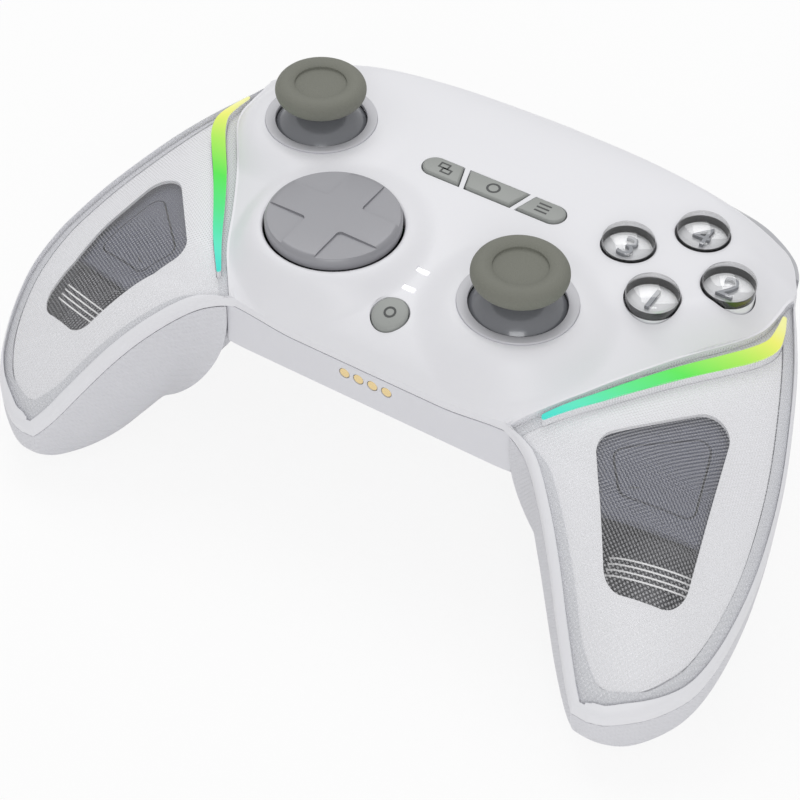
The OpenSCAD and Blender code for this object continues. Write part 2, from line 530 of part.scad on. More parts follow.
// Direction pad on a two-way rocker
module at_dpad() translate([-inner_x, -inner_y, 0]) children();
dpad_z = -4;
module dpad_disc() place() color("silver") at_dpad() {
  difference() {
    rotate_extrude() polygon([[0, -0.6], [dpad_r - 0.3, -0.6], [dpad_r, -0.2], [dpad_r, dpad_top - 1.1],
      [dpad_r - 0.4, dpad_top - 0.4], [dpad_r - 1.2, dpad_top], [0, dpad_top]]);
    for (a = [0:90:270]) rotate(a) translate([dpad_arm, dpad_arm, dpad_top - dpad_step]) cube(20);
  }
  translate([0, 0, dpad_z - 1.2]) cylinder(r = 2, h = -dpad_z + 0.8);
  translate([0, 0, dpad_z]) rotate([90, 0, 0]) cylinder(r = 0.9, h = 10.4, center = true);
}
module dpad_rocker() place() color("lightgray") at_dpad() translate([0, 0, dpad_z]) difference() {
  union() {
    cylinder(r = 5.8, h = 2.4, center = true);
    rotate([0, 90, 0]) cylinder(r = 0.9, h = 15.4, center = true);
  }
  cylinder(r = 3.4, h = 8, center = true);
  rotate([90, 0, 0]) cylinder(r = 0.9 + run_gap, h = 20, center = true);
}
module dpad_frame() place() color("dimgray") at_dpad() difference() {
  translate([-8.6, -8.6, -board_z]) cube([17.2, 17.2, board_z - 2.3]);
  translate([-6.6, -6.6, -board_z - 1]) cube([13.2, 13.2, 30]);
  translate([0, 0, dpad_z]) rotate([0, 90, 0]) cylinder(r = 0.9 + run_gap, h = 30, center = true);
}

// Clear face buttons
module face_button(i) place() color("azure", 0.5) translate([button_pts[i][0], button_pts[i][1], 0]) {
  intersection() {
    translate([0, 0, button_low]) cylinder(r = face_r, h = face_top - button_low);
    translate([0, 0, face_top - 11]) sphere(r = 11);
  }
  translate([0, 0, button_low]) cylinder(r = face_r + 0.6, h = 1);
}
module south_button() face_button(0);
module east_button() face_button(1);
module west_button() face_button(2);
module north_button() face_button(3);

// Menu bar: one plan per button, from left to right
end_r = bar_w / 2;
module bar_plan(i, grow) translate([0, bar_y]) {
  if (i == 0) polygon([[-6.4 - grow, end_r + grow], [6.4 + grow, end_r + grow], [4.8 + grow, -end_r - grow],
    [-4.8 - grow, -end_r - grow]]);
  else scale([i, 1]) intersection() {
    union() {
      translate([bar_len / 2 - end_r, 0]) circle(r = end_r + grow, $fn = 48);
      translate([0, -end_r - grow]) square([bar_len / 2 - end_r, bar_w + 2 * grow]);
    }
    polygon([[6.4 + bar_gap - grow, end_r + 1], [40, end_r + 1], [40, -end_r - 1],
      [4.8 + bar_gap - grow, -end_r - 1]]);
  }
}
module bar_button(i) place() color("gray") {
  translate([0, 0, -5.4]) linear_extrude(5) bar_plan(i, 0);
  translate([i * 11 - 3, bar_y - end_r - 0.9, -5.4]) cube([6, bar_w + 1.8, 1.2]);
}
module view_button() bar_button(-1);
module home_button() bar_button(0);
module menu_button() bar_button(1);
module macro_button() place() color("gray") translate([0, macro_y, 0]) {
  translate([0, 0, -10.4]) cylinder(r = macro_r, h = 10.4 + macro_z + 0.5);
  translate([0, 0, -10.4]) cylinder(r = macro_r + 0.8, h = 1.1);
}

// Bumpers, triggers and their bracket
bumper_x = 31.4 * wide;
bumper_y = 40.5;
bumper_out = [for (p = [[34.5, 56.6], [37, 55.4], [39.7, 53.2], [42.6, 48.6], [45, 42], [46.2, 34]])
  [p[0], p[1] * wide]];
bumper_x0 = 28 * wide;
function bumper_top(x) = mix(-5.2, -9.2, (x - bumper_x0) / bumper_x0);
module bumper() difference() {
  deck(rows(35.2, 46, [0, 0.2, 0.4, 0.6, 0.75, 0.88, 1]), function(y) bumper_x0, function(y) curve(y, bumper_out),
    function(x, y) bumper_top(x) - 0.12 * max(0, y - 43) ^ 2,
    function(x, y) bumper_top(x) - 3.3 + 0.1 * max(0, y - 43) ^ 2, 4);
  translate([bumper_x, bumper_y, -30]) cylinder(r = 1.5 + run_gap, h = 40);
}
module left_bumper() place() color("lightgray") side(left) bumper();
module right_bumper() place() color("lightgray") side(right) bumper();
trigger_x0 = 30.5 * wide;
trigger_x1 = 52.6 * wide;
trigger_mid = 36 * wide;
spring_x = 41 * wide;
bracket_x0 = 28.2 * wide;
bracket_x1 = 54.6 * wide;
module along_x(x0, x1) translate([x0, 0, 0]) rotate([90, 0, 90]) linear_extrude(x1 - x0) children();
module trigger_plan() polygon(concat([[trigger_x0 - 1, 30], [trigger_x0 - 1, rear_end + 0.2]],
  [for (a = [0:7.5:90]) [mix(trigger_mid, trigger_x1, sin(a)), mix(34, rear_end + 0.2, cos(a))]],
  [[trigger_x1, 30]]));
module trigger() difference() {
  union() {
    intersection() {
      along_x(trigger_x0, trigger_x1) intersection() {
        translate([rear_end - 18, -21]) circle(r = 18);
        polygon([[pivot_y, -15.4], [60, -15.4], [60, -31.5], [43, -31.5], [pivot_y + 0.5, -20.2]]);
      }
      translate([0, 0, -40]) linear_extrude(40) trigger_plan();
    }
    along_x(trigger_x0, trigger_x1) translate([pivot_y, -pivot_z]) circle(r = 2.3);
  }
  along_x(0, 90) translate([pivot_y, -pivot_z]) circle(r = pin_r + run_gap);
  along_x(spring_x - 2.6, spring_x + 2.6) translate([pivot_y, -pivot_z]) circle(r = 4.4);
}
module left_trigger() place() color("lightgray") side(left) trigger();
module right_trigger() place() color("lightgray") side(right) trigger();
module trigger_pin() along_x(bracket_x0 + 0.4, bracket_x1 - 0.2) translate([pivot_y, -pivot_z]) circle(r = pin_r);
module left_trigger_pin() place() color("silver") side(left) trigger_pin();
module right_trigger_pin() place() color("silver") side(right) trigger_pin();
module trigger_spring() for (i = [-1.5:1.5]) translate([spring_x + 1.05 * i, pivot_y, -pivot_z]) rotate([0, 90, 0])
  rotate_extrude() translate([pin_r + 0.5, 0]) circle(r = 0.45);
module left_trigger_spring() place() color("silver") side(left) trigger_spring();
module right_trigger_spring() place() color("silver") side(right) trigger_spring();
module trigger_bracket() difference() {
  union() {
    translate([bracket_x0, 32.7, -30]) cube([bracket_x1 - bracket_x0, 1.7, 16.8]);
    translate([bracket_x0, 34, -21.5]) cube([1.8, 6.5, 8.3]);
    translate([bracket_x1 - 1.6, 34, -21.5]) cube([1.6, 6.5, 8.3]);
    translate([bracket_x0, 34, -14.7]) cube([6, 9, 1.5]);
    translate([bumper_x, bumper_y, -14]) cylinder(r = 1.5, h = 8.2);
  }
  along_x(0, 90) translate([pivot_y, -pivot_z]) circle(r = pin_r + 0.02);
}
module left_trigger_bracket() place() color("dimgray") side(left) trigger_bracket();
module right_trigger_bracket() place() color("dimgray") side(right) trigger_bracket();

// Rear macro buttons in the belly
rear_button_at = [30, -4];
module rear_button_plan(grow) translate(rear_button_at) rotate(24) {
  translate([-2.8, -5 - grow]) square([5.6, 10 + 2 * grow]);
  translate([-2.8 - grow, -5]) square([5.6 + 2 * grow, 10]);
  for (x = [-2.8, 2.8]) for (y = [-5, 5]) translate([x, y]) circle(r = max(grow, 0.01), $fn = 12);
}
module rear_button_hole() translate([0, 0, -50]) linear_extrude(50 - 22) rear_button_plan(1.2 + button_gap);
module rear_button() {
  translate([0, 0, -32.4]) linear_extrude(7.6) rear_button_plan(1.2);
  translate([0, 0, -25.6]) linear_extrude(1) rear_button_plan(2);
}
module left_rear_button() place() color("gray") side(left) rear_button();
module right_rear_button() place() color("gray") side(right) rear_button();

// Boards, membrane, battery, inlet, contacts, light pipe and screws
module pad_plan(r) {
  for (p = button_pts) translate([p[0] - outer_x, p[1] - outer_y]) circle(r = r);
  for (a = [0, 90]) rotate(a) translate([-face_step, -2.5]) square([2 * face_step, 5]);
}
membrane_z = button_low - face_travel - 0.15;
module membrane() place() color("lightgray") translate([outer_x, outer_y, 0]) {
  translate([0, 0, membrane_z - 2]) linear_extrude(0.8) pad_plan(4);
  for (p = button_pts) translate([p[0] - outer_x, p[1] - outer_y, membrane_z - 1.3]) cylinder(r = 3, h = 1.3);
}
module button_board() place() color("darkgreen") translate([outer_x, outer_y, 0]) {
  translate([0, 0, membrane_z - 3.6]) linear_extrude(1.55) pad_plan(4.2);
  for (p = button_pts) translate([p[0] - outer_x, p[1] - outer_y, -board_z])
    cylinder(r = 1.5, h = board_z + membrane_z - 3.4);
}
module main_board() place() color("darkgreen") difference() {
  translate([0, 0, board_low]) linear_extrude(board_t - 0.03) polygon([[-29, -20.5], [29, -20.5], [46, 4],
    [52, 14], [52, 30], [14, 30], [14, 40], [-14, 40], [-14, 30], [-52, 30], [-52, 14], [-46, 4]]);
  for (p = screw_pts) translate([p[0], p[1], -40]) cylinder(r = 3.4, h = 60);
}
module battery() place() color("steelblue") translate([-22.5, 1.5, -battery_z]) cube([45, 26, 7]);
module usb_inlet() place() color("silver") {
  difference() {
    translate([-4.5, rear_reach - 8, usb_z - 1.6]) cube([9, 7.9, 3.2]);
    translate([-4.2, rear_reach - 6.5, usb_z - 1.3]) cube([8.4, 8, 2.6]);
  }
  translate([-3.3, rear_reach - 7, usb_z - 0.35]) cube([6.6, 5.6, 0.7]);
  for (x = [-4.5, 3.3]) translate([x, rear_reach - 8, -board_z]) cube([1.2, 3, board_z + usb_z - 1.2]);
}
module charging_contacts() place() color("gold") {
  for (i = [-1.5:1.5]) translate([i * contact_step, front_y + 0.1, contact_z]) rotate([-90, 0, 0])
    cylinder(r = contact_r, h = wall + 0.6);
  translate([-6.6, front_y + wall + 0.3, contact_z - 2]) cube([13.2, 1.6, 4]);
}
module indicator_pipe() place() color("white") {
  for (p = pipe_pts) translate([-1.25, p - 0.5, -7.2]) cube([2.5, 1, 7.2 + curve(p, face_mid) + 0.1]);
  translate([-1.25, -13, -7.2]) cube([2.5, 6.5, 1]);
}
module shell_screws() place() color("silver") for (p = screw_pts) translate([p[0], p[1], 0]) {
  translate([0, 0, -screw_seat - 1.8]) cylinder(r = 2.3, h = 1.75);
  translate([0, 0, -screw_seat - 0.2]) cylinder(r = 1.2, h = screw_seat + screw_join + 6);
}

front_shell();
rear_shell();
left_rear_grip();
right_rear_grip();
left_grip_cover();
right_grip_cover();
left_grip_liner();
right_grip_liner();
left_light_guide();
right_light_guide();
left_chassis();
right_chassis();
left_motor();
right_motor();
left_motor_weight();
right_motor_weight();
left_stick_ring();
right_stick_ring();
left_stick_cap();
right_stick_cap();
left_stick_stem();
right_stick_stem();
left_stick_gimbal();
right_stick_gimbal();
left_stick_carriage();
right_stick_carriage();
left_stick_housing();
right_stick_housing();
dpad_disc();
dpad_rocker();
dpad_frame();
south_button();
east_button();
west_button();
north_button();
view_button();
home_button();
menu_button();
macro_button();
left_bumper();
right_bumper();
left_trigger();
right_trigger();
left_trigger_pin();
right_trigger_pin();
left_trigger_spring();
right_trigger_spring();
left_trigger_bracket();
right_trigger_bracket();
left_rear_button();
right_rear_button();
membrane();
button_board();
main_board();
battery();
usb_inlet();
charging_contacts();
indicator_pipe();
shell_screws();
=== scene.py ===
# Looks of the gamepad: fine surfaces over the CAD frame, materials, studio and camera.
import json
import math
import bpy
import bmesh
import numpy as np
from mathutils import Matrix, Vector


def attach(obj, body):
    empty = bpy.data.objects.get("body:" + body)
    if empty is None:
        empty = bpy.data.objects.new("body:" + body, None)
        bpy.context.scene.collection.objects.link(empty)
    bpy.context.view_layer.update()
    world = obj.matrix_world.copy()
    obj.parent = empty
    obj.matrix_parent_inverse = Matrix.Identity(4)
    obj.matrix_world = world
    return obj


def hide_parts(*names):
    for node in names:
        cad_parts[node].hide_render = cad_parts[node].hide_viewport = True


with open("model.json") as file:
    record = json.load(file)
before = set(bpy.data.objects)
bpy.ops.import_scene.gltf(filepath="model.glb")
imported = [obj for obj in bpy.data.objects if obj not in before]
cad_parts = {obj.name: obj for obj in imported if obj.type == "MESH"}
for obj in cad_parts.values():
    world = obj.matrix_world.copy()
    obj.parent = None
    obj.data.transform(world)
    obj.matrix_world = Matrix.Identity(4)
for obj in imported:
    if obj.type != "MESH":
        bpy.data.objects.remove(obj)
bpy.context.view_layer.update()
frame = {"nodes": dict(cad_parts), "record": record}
nodes = frame["nodes"]

# Sizes in millimetres, as in the part's source
# Half width, and where the grips, the rear edge and the front wall end
HALF_W, GRIP, REAR, FRONT = 78.0, 53.0, 44.5, -26.6
# The face plane's origin in the part's frame
LIFT = np.array([0.0, 2.5, 50.0])
# Thicknesses, the seam between the shells, and the rim round a grip cover
WALL, SEAM, COVER_T, LINER_T = 2.0, 0.25, 1.4, 1.0
RIM_W, RIM_T, LEDGE_T, OUTER_LIP = 1.5, 2.2, 5.0, 3.7
# The grips' surface: its depth below the face and how steeply it falls
DROP, FALL = 6.0, 0.0252
# Centres of the outer and inner control groups
OUT_X, OUT_Y, IN_X, IN_Y = 38.9, 17.5, 19.6, 7.1
# Radii of the controls, and how far a face button lies from the middle of its group
RING_R, RING_IN, DPAD_R, FACE_R, BUTTON_STEP = 11.0, 9.0, 12.8, 4.9, 10.2
GRIP_END, COVER_END, PAD_Z = 28.0, 26.4, -0.3
# Menu bar, half widths of its middle key, and the gap round each button
BAR_Y, BAR_W, BAR_LEN, BAR_GAP, BUTTON_GAP = 17.7, 4.9, 30.6, 1.5, 0.25
HOME_TOP, HOME_LOW = 6.4, 4.8
MACRO_Y, MACRO_R = -18.5, 3.35
# Heights between which a tool cuts right through the pad, or through the face alone
THROUGH, FACE_CUT = (-60, 20), (-20, 10)
# Indicator dashes: their places, half length and half width
DASHES, DASH_X, DASH_Y = (-7.4, -12.1), 1.35, 0.6
# Plan of a trigger bay, the screws, the contacts and the inlet's slot
BAY, SCREWS = (27.4, 32.6, 67, 62), ((25, -21.2), (22, 35))
CONTACT_PITCH, CONTACT_R, CONTACT_Z = 3, 1.15, -15
INLET_HALF, INLET_LOW, INLET_TOP = 4.8, -15.5, -11.7
# Ends of the border between the shells, of a grip back and of its hollow
DIVIDE_END, BACK_END, PIT_END = 19, 17.8, 12.5
# Points closer than this are one, in metres
WELD = 2e-6
SIDES = ((-1, "left"), (1, "right"))


# Plain helpers
def mix(a, b, t):
    return a + (b - a) * t


def ease(t):
    c = np.clip(t, 0, 1)
    return c * c * (3 - 2 * c)


def arc(cx, cy, r, a0, a1, n):
    """Points on an arc between two angles in degrees."""
    return [(cx + r * math.cos(a), cy + r * math.sin(a)) for a in np.radians(np.linspace(a0, a1, n))]


def rows(*spans):
    """Places along y, from spans of (start, end, steps)."""
    return np.concatenate([np.linspace(a, b, n, endpoint=False) for a, b, n in spans] + [[spans[-1][1]]])


def curve(y, table):
    """Smooth curve through a table of (place, value) points."""
    t = np.array(table, float)
    ys, vs = t[:, 0], t[:, 1]
    lo = np.r_[0, np.arange(len(ys) - 1)]
    hi = np.r_[np.arange(1, len(ys)), len(ys) - 1]
    m = (vs[hi] - vs[lo]) / (ys[hi] - ys[lo])
    y = np.asarray(y, float)
    i = np.clip(np.searchsorted(ys, y) - 1, 0, len(ys) - 2)
    h = ys[i + 1] - ys[i]
    s = np.clip((y - ys[i]) / h, 0, 1)
    return ((2 * s**3 - 3 * s**2 + 1) * vs[i] + (s**3 - 2 * s**2 + s) * h * m[i]
            + (3 * s**2 - 2 * s**3) * vs[i + 1] + (s**3 - s**2) * h * m[i + 1])


def reach(table):
    """Plan points from shares of the reach and of the half width."""
    return [(f * GRIP if f < 0 else f * REAR, v * HALF_W) for f, v in table]


def line_at(x):
    """Straight plan line along y."""
    return lambda y: y * 0 + x


def level(z):
    """Flat surface at a height."""
    return lambda x, y: y * 0 + z


# Plan lines of the right half
OUTER = reach([(-1, 0.795), (-0.988, 0.827), (-0.96, 0.862), (-0.915, 0.903), (-0.85, 0.941), (-0.774, 0.972),
               (-0.68, 0.992), (-0.566, 1), (-0.453, 0.996), (-0.302, 0.978), (-0.132, 0.947), (0.067, 0.901),
               (0.303, 0.846), (0.472, 0.799), (0.607, 0.758), (0.697, 0.731), (0.787, 0.7), (0.854, 0.658),
               (0.899, 0.588), (0.935, 0.49), (0.966, 0.372), (0.989, 0.215), (1, 0.09)])
INNER = reach([(-1, 0.756), (-0.974, 0.736), (-0.94, 0.7115), (-0.857, 0.654), (-0.751, 0.586),
               (-0.651, 0.518), (-0.56, 0.449)])
RIM = INNER + [(FRONT - 1, 0.4026 * HALF_W), (FRONT, 0.367 * HALF_W)]
BORDER = [(y, v * HALF_W) for y, v in [(FRONT, 0.376), (-19, 0.451), (-8.4, 0.53), (1.9, 0.613),
                                       (12.2, 0.708), (16.6, 0.733), (21, 0.739), (25, 0.741),
                                       (GRIP_END, 0.75)]]
SPLIT = [(y, v * HALF_W) for y, v in [(FRONT, 0.395), (-20, 0.436), (-10, 0.551), (0, 0.654), (8, 0.731),
                                      (15, 0.788), (19, 0.812)]]


def x_out(y):
    """Outer plan line of the pad."""
    return curve(y, OUTER)


def border(y):
    """Plan line where the face meets a grip's cover."""
    return np.where(np.asarray(y) > GRIP_END, x_out(y), np.minimum(curve(y, BORDER), x_out(y)))


def grip_in(y):
    """Inner plan line of a grip's surface."""
    return np.where(np.asarray(y) < FRONT, curve(y, RIM), border(y))


def divide(y):
    """Plan line between the rear shell and a grip back."""
    return np.where(np.asarray(y) > DIVIDE_END, x_out(y), np.minimum(curve(y, SPLIT), x_out(y)))


def across(x, y):
    """Share of the way over a grip, from its inner line to its outer one."""
    w = x_out(y) - grip_in(y)
    return np.where(w < 0.5, 0, np.clip((x - grip_in(y)) / np.maximum(w, 0.5), 0, 1))


# Heights of the surfaces
FACE_MID = [(FRONT, -10.6), (FRONT + 2, -7.7), (FRONT + 4.6, -5.7), (-18.5, -4.2), (-12, -3.1), (-7, -2.5),
            (5, -1.5), (18, -0.9), (31, -0.6), (REAR - 6.5, -0.7), (REAR - 2.5, -1.3), (REAR, -2.5)]
FALL_OUT = [(-53, 0.3), (-50, 3), (-47, 6.6), (-44, 9.8), (-40, 13), (-35, 14.6), (-30, 14.8), (-21, 14),
            (-6, 9.2), (8, 5), (20, 2.8), (28, 2)]
BELLY = [(FRONT, -20.7), (FRONT + 4.6, -24), (-12, -29), (0, -31.5), (18, -34), (29, -36), (36, -35),
         (REAR, -26)]
FLOOR = [(-53, -44.5), (-51.5, -47), (-49, -49.4), (-46, -50.4), (-42, -50.6), (-38, -50.2), (-34, -49),
         (-30, -47.2), (-24, -44.6), (-15, -40.2), (-5, -36.4), (8, -32.6), (17, -29.6), (22, -28)]
LIFT_IN = [(-48, 0), (-42, 0), (-38, 2.5), (-34, 7.5), (-30, 12.5), (-26.6, 15), (-20, 13), (-12, 8), (0, 4),
           (22, 2)]


def sheet_in(y):
    """Height of a grip's surface along its inner line."""
    return -DROP - FALL * np.maximum(0, -16.5 - y)**2 + 0.09 * np.maximum(0, -48.5 - y)**2


def sheet(x, y):
    """Outer surface of a grip, which its rim, cover, liner and light guide follow."""
    return sheet_in(y) - curve(y, FALL_OUT) * across(x, y)**2.2


def under(d):
    """Surface at a depth under the grip's outer surface."""
    return lambda x, y: sheet(x, y) - d


def face(x, y):
    """White face, level round the controls."""
    z = mix(curve(y, FACE_MID), sheet_in(y), np.clip(1 - (border(y) - np.abs(x)) / 16, 0, 1)**2)
    for cx, cy, r0, r1 in ((-OUT_X, OUT_Y, RING_R + 1, RING_R + 8), (OUT_X, OUT_Y, 9, 18),
                           (-IN_X, -IN_Y, DPAD_R + 1, DPAD_R + 7), (IN_X, -IN_Y, RING_R + 0.6, RING_R + 8)):
        z = mix(z, PAD_Z, ease((r1 - np.hypot(x - cx, y - cy)) / (r1 - r0)))
    return z


def lip(y):
    """Depth of the front shell's edge along a grip's inner line."""
    return mix(RIM_T, LEDGE_T, ease((y - FRONT) / 3))


def seam(x, y):
    """Height of the seam along a grip."""
    inner = sheet_in(y) - lip(y)
    outer = sheet(x_out(y), y) - mix(RIM_T, OUTER_LIP, ease((y + 52) / 14))
    return mix(inner, outer, across(x, y))


def split(x, y):
    """Height at which the front and rear shells meet."""
    a, b = np.abs(x), border(y)
    mid = curve(y, [(FRONT, -12.2), (0, -11.2), (REAR, -11)])
    side = mix(mid, sheet_in(y) - lip(y), ease(1 - (b - a) / 14))
    return np.where((a >= b) | (y < FRONT), seam(a, y), side)


def belly(x, y):
    """Under side of the rear shell."""
    return curve(y, BELLY) + 0.012 * np.maximum(0, np.abs(x) - 26)**2


def back_in(y):
    """Inner plan line of a grip back."""
    return np.where(np.asarray(y) < FRONT, grip_in(y), divide(y))


def floor_at(u, y):
    """Lowest height of a grip back at a share of its width."""
    return curve(y, FLOOR) + curve(y, LIFT_IN) * np.maximum(0, 1 - u / 0.45)**1.5


def grip_low(x, y):
    """Under side of a grip back."""
    a, b = back_in(y), x_out(y)
    u = np.clip((x - a) / np.maximum(b - a, 0.5), 0, 1)
    c = np.clip((y - FRONT) / 6, 0, 1) * (split(a, y) - belly(a, y)) / (split(a, y) - floor_at(0 * u, y))
    e = np.where(u < 0.5, 2.7, 3.2)
    s = np.maximum(0, 1 - np.abs(2 * u - 1)**e)**(1 / e)
    z = mix(split(a, y), split(b, y), u)
    return np.maximum(z - (z - floor_at(u, y)) * np.where(u < 0.5, c + (1 - c) * s, s), -50.0)


def ramp(y):
    """Change from the free grip to the stretch along the face."""
    return np.clip((y - FRONT + 2) / 2, 0, 1)


def cover_in(y):
    return grip_in(y) + mix(RIM_W * 1.3, 0.5, ramp(y))


def inset_out(y, d):
    """Outer plan line drawn in by a distance."""
    y = np.asarray(y, float)
    return np.min([x_out(y + d * t) - d * math.sqrt(1 - t * t) for t in np.linspace(-1, 1, 9)], axis=0)


def cover_out(y):
    return np.maximum(inset_out(y, mix(RIM_W, 0.7, ease((np.asarray(y) + GRIP - 3) / 8))), cover_in(y) + 0.4)


def liner_in(y):
    return cover_in(y) + mix(2.6, 0.9, ramp(y))


def liner_out(y):
    return np.maximum(inset_out(y, 3.0), liner_in(y) + 0.6)


LINER_LOW, LINER_HIGH = -GRIP + RIM_W + 2.6, COVER_END - 2.6


# Shapes, each a pair of points and faces
def deck(ys, xa, xb, top, low, n, rounded=False):
    """Closed slab between two plan lines and two surfaces, row by row."""
    ys = np.asarray(ys, float)
    t = np.linspace(0, 1, n + 1)
    if rounded:
        t = (1 - np.cos(np.pi * t)) / 2
    y = np.repeat(ys[:, None], n + 1, 1)
    x = mix(xa(ys)[:, None], xb(ys)[:, None], t[None, :])
    zt = top(x, y)
    zl = np.minimum(low(x, y), zt - 0.2)
    m, c = len(ys), n + 1
    k = m * c
    up = np.stack([x, y, zt], -1).reshape(-1, 3)
    dn = np.stack([x, y, zl], -1).reshape(-1, 3)
    j, i = np.meshgrid(np.arange(m - 1), np.arange(n), indexing="ij")
    a = (j * c + i).ravel()
    f = [np.stack([a, a + 1, a + c + 1, a + c], -1),
         np.stack([a + k + c, a + k + c + 1, a + k + 1, a + k], -1)]
    r = np.arange(m - 1) * c
    f += [np.stack([r, r + c, r + c + k, r + k], -1),
          np.stack([r + n + c, r + n, r + n + k, r + n + c + k], -1)]
    q = np.arange(n)
    f += [np.stack([q + 1, q, q + k, q + 1 + k], -1),
          np.stack([q + k - c, q + k - n, q + 2 * k - n, q + 2 * k - c], -1)]
    return np.concatenate([up, dn]), np.concatenate(f)


def lathe(profile, at=(0, 0, 0), n=96):
    """Solid turned about z from a profile of (radius, height) points."""
    p = np.array(profile, float)
    a = np.arange(n) * 2 * np.pi / n
    x, y = p[:, None, 0] * np.cos(a), p[:, None, 0] * np.sin(a)
    v = np.stack([x, y, np.repeat(p[:, 1:2], n, 1)], -1).reshape(-1, 3)
    m = len(p)
    f = []
    for i in range(m - 1):
        for j in range(n):
            q = (j + 1) % n
            f.append((i * n + j, i * n + q, (i + 1) * n + q, (i + 1) * n + j))
    f.append(tuple(range(n))[::-1])
    f.append(tuple((m - 1) * n + j for j in range(n)))
    return v + np.array(at, float), f


def loop(profile, at=(0, 0, 0), n=128):
    """Ring turned about z, whose profile closes on itself."""
    v, f = lathe(profile, at, n)
    last = (len(profile) - 1) * n
    return v, f[:-2] + [(last + j, last + (j + 1) % n, (j + 1) % n, j) for j in range(n)]


def tube(r0, r1, z0, z1, at=(0, 0, 0), n=64):
    """Ring with a rectangular section."""
    return loop([(r0, z0), (r1, z0), (r1, z1), (r0, z1)], at, n)


def prism(pts, z0, z1):
    p = np.array(pts, float)
    n = len(p)
    v = np.concatenate([np.c_[p, np.full(n, z0)], np.c_[p, np.full(n, z1)]])
    f = [tuple(range(n))[::-1], tuple(range(n, 2 * n))]
    f += [(i, (i + 1) % n, n + (i + 1) % n, n + i) for i in range(n)]
    return v, f


def box(x0, y0, x1, y1):
    """Plan of a rectangle."""
    return [(x0, y0), (x1, y0), (x1, y1), (x0, y1)]


def mirrored(shape, s):
    v, f = shape
    if s > 0:
        return v, f
    return v * np.array([-1, 1, 1]), [tuple(q)[::-1] for q in f]


def through(plan, s):
    """Tool on one side that cuts its plan right through."""
    return mirrored(prism(plan, *THROUGH), s)


def join(*shapes):
    vs, fs, k = [], [], 0
    for v, f in shapes:
        vs.append(v)
        fs += [tuple(int(i) + k for i in q) for q in f]
        k += len(v)
    return np.concatenate(vs), fs


# Pieces made from shapes
def mesh_of(name, shape, weld):
    """Mesh in metres in the part's frame."""
    me = bpy.data.meshes.new(name)
    points = (np.asarray(shape[0], float) + LIFT) / 1000
    me.from_pydata(points.tolist(), [], [tuple(int(i) for i in f) for f in shape[1]])
    bm = bmesh.new()
    bm.from_mesh(me)
    if weld:
        bmesh.ops.remove_doubles(bm, verts=bm.verts, dist=WELD)
    bmesh.ops.recalc_face_normals(bm, faces=bm.faces)
    bm.to_mesh(me)
    bm.free()
    return me


def shade(ob, mat, angle):
    """One material, smooth up to an angle in degrees."""
    ob.data.materials.clear()
    ob.data.materials.append(mat)
    ob.data.shade_smooth()
    ob.data.set_sharp_from_angle(angle=math.radians(angle))


def make(name, shape, mat, body="base", stands=()):
    """Piece that rides on a body and may stand in for CAD nodes."""
    ob = bpy.data.objects.new(name, mesh_of(name, shape, True))
    bpy.context.scene.collection.objects.link(ob)
    shade(ob, mat, 35)
    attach(ob, body)
    if stands:
        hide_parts(*stands)
    return ob


def bake(ob, mod):
    """Turn a modifier's result into the piece's mesh."""
    deps = bpy.context.evaluated_depsgraph_get()
    new = bpy.data.meshes.new_from_object(ob.evaluated_get(deps))
    ob.modifiers.remove(mod)
    old = ob.data
    ob.data = new
    bpy.data.meshes.remove(old)


def carve(ob, tools, op="DIFFERENCE", angle=32):
    """Boolean of a piece with tool shapes, which are removed again."""
    mat = ob.data.materials[0]
    for shape in tools:
        me = mesh_of("tool", shape, False)
        tool = bpy.data.objects.new("tool", me)
        bpy.context.scene.collection.objects.link(tool)
        mod = ob.modifiers.new("cut", "BOOLEAN")
        mod.operation = op
        mod.solver = "MANIFOLD"
        mod.object = tool
        bake(ob, mod)
        bpy.data.objects.remove(tool)
        bpy.data.meshes.remove(me)
    shade(ob, mat, angle)


def bevel(ob, width, segments):
    mat = ob.data.materials[0]
    mod = ob.modifiers.new("edge", "BEVEL")
    mod.width = width / 1000
    mod.segments = segments
    mod.limit_method = "ANGLE"
    mod.angle_limit = math.radians(40)
    bake(ob, mod)
    shade(ob, mat, 50)


# Materials
def rgb(r, g, b):
    """Linear colour from eight-bit screen values."""
    c = np.array([r, g, b]) / 255.0
    return tuple(np.where(c <= 0.04045, c / 12.92, ((c + 0.055) / 1.055)**2.4)) + (1.0,)


def link(nt, a, b):
    nt.links.new(a, b)


def combine(nt, operation, a, b):
    """Output of a math node on a socket and a second socket or number."""
    node = nt.nodes.new("ShaderNodeMath")
    node.operation = operation
    link(nt, a, node.inputs[0])
    if isinstance(b, float):
        node.inputs[1].default_value = b
    else:
        link(nt, b, node.inputs[1])
    return node.outputs[0]


